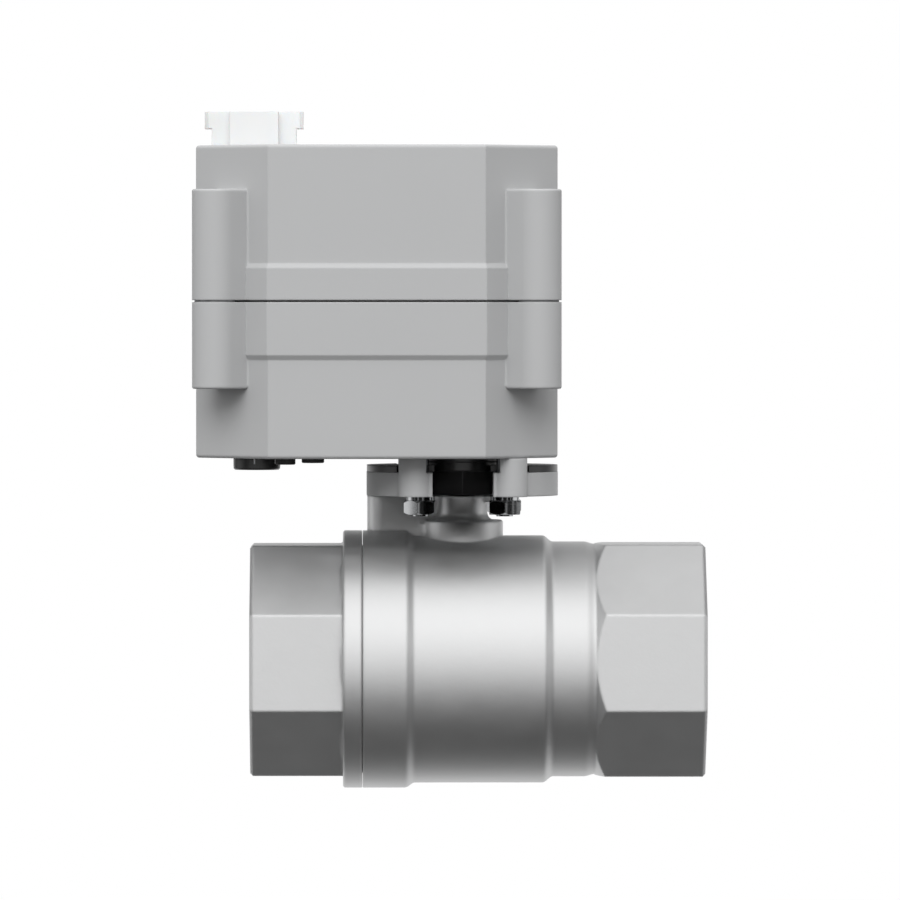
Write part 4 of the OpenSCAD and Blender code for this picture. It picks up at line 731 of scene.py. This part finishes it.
class VALVE_OT_stage(bpy.types.Operator):
    """Builds the floor, the light and the camera"""

    bl_idname = "valve.stage"
    bl_label = "Stage"

    def execute(self, context):
        stage = context.scene.valve_stage
        self.world(context.scene, stage)
        self.floor(stage)
        self.card()
        # The card that paints shade into the neck's reflection and glints onto the nuts
        self.flag()
        self.lights(stage)
        self.camera(context.scene, stage)
        return {"FINISHED"}

    def world(self, scene, stage):
        """White where it is seen, and a sky that lights the object more from overhead."""
        world = bpy.data.worlds.new("studio")
        world.use_nodes = True
        scene.world = world
        tree = world.node_tree
        tree.nodes.clear()
        path = add(tree, "ShaderNodeLightPath")
        seen = add(tree, "ShaderNodeMath", operation="ADD", use_clamp=True, inputs={
            0: path.outputs["Is Camera Ray"], 1: path.outputs["Is Glossy Ray"]})
        any_seen = add(tree, "ShaderNodeMath", operation="ADD", use_clamp=True, inputs={
            0: seen.outputs[0], 1: path.outputs["Is Transmission Ray"]})
        way = add(tree, "ShaderNodeTexCoord")
        height = add(tree, "ShaderNodeSeparateXYZ", inputs={0: way.outputs["Generated"]})
        level = add(tree, "ShaderNodeMapRange", inputs={
            0: height.outputs["Z"], 1: 0.0, 2: 1.0, 3: stage.ambient, 4: stage.overhead})
        light = add(tree, "ShaderNodeBackground", inputs={
            "Color": (1, 1, 1, 1), "Strength": level.outputs[0]})
        white = add(tree, "ShaderNodeBackground", inputs={"Color": (1, 1, 1, 1), "Strength": 1.0})
        mix = add(tree, "ShaderNodeMixShader", inputs={
            0: any_seen.outputs[0], 1: light.outputs[0], 2: white.outputs[0]})
        add(tree, "ShaderNodeOutputWorld", inputs={"Surface": mix.outputs[0]})

    def floor(self, stage):
        """A pale floor that turns to plain white away from the object, and that metals don't mirror."""
        bpy.ops.object.select_all(action="DESELECT")
        bpy.ops.mesh.primitive_circle_add(
            vertices=96, radius=FLOOR_RADIUS, fill_type="NGON", location=(0, 0, stage.floor))
        floor = bpy.context.object
        floor.name = "floor"
        bpy.ops.object.transform_apply()
        made = bpy.data.materials.new("floor")
        made.use_nodes = True
        tree = made.node_tree
        principled = tree.nodes["Principled BSDF"]
        principled.inputs["Base Color"].default_value = (0.9, 0.9, 0.9, 1)
        principled.inputs["Roughness"].default_value = 0.9
        place = add(tree, "ShaderNodeTexCoord")
        reach = add(tree, "ShaderNodeVectorMath", operation="LENGTH", inputs={0: place.outputs["Object"]})
        far = add(tree, "ShaderNodeMapRange", interpolation_type="SMOOTHSTEP", inputs={
            0: reach.outputs["Value"], 1: FLOOR_FADE[0], 2: FLOOR_FADE[1]})
        path = add(tree, "ShaderNodeLightPath")
        seen = add(tree, "ShaderNodeMath", operation="ADD", use_clamp=True, inputs={
            0: path.outputs["Is Camera Ray"], 1: path.outputs["Is Transmission Ray"]})
        mask = add(tree, "ShaderNodeMath", operation="MULTIPLY", inputs={
            0: far.outputs[0], 1: seen.outputs[0]})
        white = add(tree, "ShaderNodeEmission", inputs={"Strength": 1.0})
        ground = add(tree, "ShaderNodeBsdfDiffuse", inputs={"Color": (stage.bounce,) * 3 + (1,)})
        lit = add(tree, "ShaderNodeMixShader", inputs={
            0: path.outputs["Is Diffuse Ray"], 1: principled.outputs[0], 2: ground.outputs[0]})
        mix = add(tree, "ShaderNodeMixShader", inputs={
            0: mask.outputs[0], 1: lit.outputs[0], 2: white.outputs[0]})
        tree.links.new(mix.outputs[0], tree.nodes["Material Output"].inputs["Surface"])
        floor.data.materials.append(made)
        floor.visible_glossy = False

    def card(self):
        """The ball of light that the metals mirror."""
        bpy.ops.object.select_all(action="DESELECT")
        bpy.ops.mesh.primitive_uv_sphere_add(
            segments=64, ring_count=32, radius=CARD_RADIUS, location=CARD_MIDDLE)
        card = bpy.context.object
        card.name = "studio_card"
        bpy.ops.object.transform_apply()
        card.data.materials.append(card_material())
        only_seen_by(card, "glossy")

    def flag(self):
        """A dark card with thin lit strips in front of the neck and its nuts, seen only by glossy rays:
        painted shade that darkens the neck's reflection where its recess lies in shade, lit strips that
        paint glints onto the nuts, and a dimly lit left end.
        """
        left_from, left_to, left_level = 0.024, 0.013, 0.3
        half_pitch, strip_from, strip_to, strip_low, strip_high = 0.00125, 0.0009, 0.00115, 0.02, 0.4
        dark_half_width = 0.005
        flag = fresh("plane", size=1, location=PAINTED_SHADE_MIDDLE, rotation=(math.pi / 2, 0, 0))
        flag.scale = (*PAINTED_SHADE_SIZE, 1)
        flag.name = "painted_shade_and_glints_card"
        bpy.ops.object.transform_apply()
        made = bpy.data.materials.new("painted_shade_and_glints_card")
        made.use_nodes = True
        tree = made.node_tree
        tree.nodes.clear()
        place = add(tree, "ShaderNodeTexCoord")
        parts = add(tree, "ShaderNodeSeparateXYZ", inputs={0: place.outputs["Object"]})
        # Painted light: a dim left end, a dark middle as painted shade over the neck, and lit strips as
        # painted glints on the nuts
        left = add(tree, "ShaderNodeMapRange", interpolation_type="SMOOTHSTEP", inputs={
            0: parts.outputs["X"], 1: STEM_X - left_from, 2: STEM_X - left_to, 3: left_level, 4: 0.0})
        across = add(tree, "ShaderNodeMath", operation="SUBTRACT", inputs={
            0: parts.outputs["X"], 1: STEM_X})
        aside = add(tree, "ShaderNodeMath", operation="ABSOLUTE", inputs={0: across.outputs[0]})
        wave = add(tree, "ShaderNodeMath", operation="PINGPONG", inputs={
            0: aside.outputs[0], 1: half_pitch})
        strip = add(tree, "ShaderNodeMapRange", interpolation_type="SMOOTHSTEP", inputs={
            0: wave.outputs[0], 1: strip_from, 2: strip_to, 3: strip_low, 4: strip_high})
        outer = add(tree, "ShaderNodeMath", operation="GREATER_THAN", inputs={
            0: aside.outputs[0], 1: dark_half_width})
        glow = add(tree, "ShaderNodeMath", operation="MULTIPLY_ADD", inputs={
            0: strip.outputs[0], 1: outer.outputs[0], 2: left.outputs[0]})
        emission = add(tree, "ShaderNodeEmission", inputs={"Strength": glow.outputs[0]})
        add(tree, "ShaderNodeOutputMaterial", inputs={"Surface": emission.outputs[0]})
        flag.data.materials.append(made)
        only_seen_by(flag, "glossy")

    def lights(self, stage):
        """The softbox in front and the weaker light behind."""
        aim = Vector(LAMP_AIM)
        for name, place, (width, height), power in (
            ("key", KEY_PLACE, KEY_SIZE, stage.key),
            ("back", BACK_PLACE, BACK_SIZE, stage.back),
        ):
            light = bpy.data.lights.new(name, "AREA")
            light.shape = "RECTANGLE"
            light.size, light.size_y, light.energy = width, height, power
            lamp = bpy.data.objects.new(name, light)
            bpy.context.scene.collection.objects.link(lamp)
            lamp.location = place
            lamp.rotation_euler = (aim - Vector(place)).to_track_quat("-Z", "Y").to_euler()
            lamp.visible_camera = False
            lamp.visible_glossy = False

    def camera(self, scene, stage):
        """A camera at the photograph's angle, placed by its pixels and the valve's length."""
        camera = bpy.data.cameras.new("camera")
        eye = bpy.data.objects.new("camera", camera)
        scene.collection.objects.link(eye)
        scene.camera = eye
        per_pixel = FLOW_LENGTH / PORT_SPAN
        aim = Vector(((AIM_COLUMN - INLET_COLUMN) * per_pixel, 0, (AXIS_ROW - AIM_ROW) * per_pixel))
        eye.location = (
            (EYE_COLUMN - INLET_COLUMN) * per_pixel, -stage.distance, (AXIS_ROW - EYE_ROW) * per_pixel)
        eye.rotation_euler = (aim - eye.location).to_track_quat("-Z", "Y").to_euler()
        reach = (aim - eye.location).length - SCALE_DEPTH
        camera.sensor_width = 36
        camera.lens = camera.sensor_width * reach / (PHOTO_PIXELS * per_pixel)
        camera.clip_start, camera.clip_end = 0.05, 30
        scene.view_settings.view_transform = "Standard"


CLASSES = [FinishSettings, ThreadSettings, StageSettings, VALVE_OT_castings, VALVE_OT_mouldings,
           VALVE_OT_metals, VALVE_OT_inner, VALVE_OT_port_threads, VALVE_OT_board_parts, VALVE_OT_knob_painted_highlights,
           VALVE_OT_stage]


class VALVE_PT_panel(bpy.types.Panel):
    """Lists the settings and the steps"""

    bl_label = "Motorised valve"
    bl_idname = "VALVE_PT_panel"
    bl_space_type = "VIEW_3D"
    bl_region_type = "UI"
    bl_category = "Valve"

    def draw(self, context):
        scene = context.scene
        for settings in (scene.valve_finish, scene.valve_thread, scene.valve_stage):
            for name in settings.bl_rna.properties.keys():
                if name not in ("rna_type", "name"):
                    self.layout.prop(settings, name)
        for step in CLASSES:
            if issubclass(step, bpy.types.Operator):
                self.layout.operator(step.bl_idname)


def register():
    for cls in [*CLASSES, VALVE_PT_panel]:
        bpy.utils.register_class(cls)
    bpy.types.Scene.valve_finish = bpy.props.PointerProperty(type=FinishSettings)
    bpy.types.Scene.valve_thread = bpy.props.PointerProperty(type=ThreadSettings)
    bpy.types.Scene.valve_stage = bpy.props.PointerProperty(type=StageSettings)


def unregister():
    del bpy.types.Scene.valve_stage
    del bpy.types.Scene.valve_thread
    del bpy.types.Scene.valve_finish
    for cls in reversed([*CLASSES, VALVE_PT_panel]):
        bpy.utils.unregister_class(cls)


def main():
    register()
    for step in CLASSES:
        if issubclass(step, bpy.types.Operator):
            group, name = step.bl_idname.split(".")
            if getattr(getattr(bpy.ops, group), name)() != {"FINISHED"}:
                raise RuntimeError(step.bl_label + " did not finish")


if __name__ == "__main__":
    main()
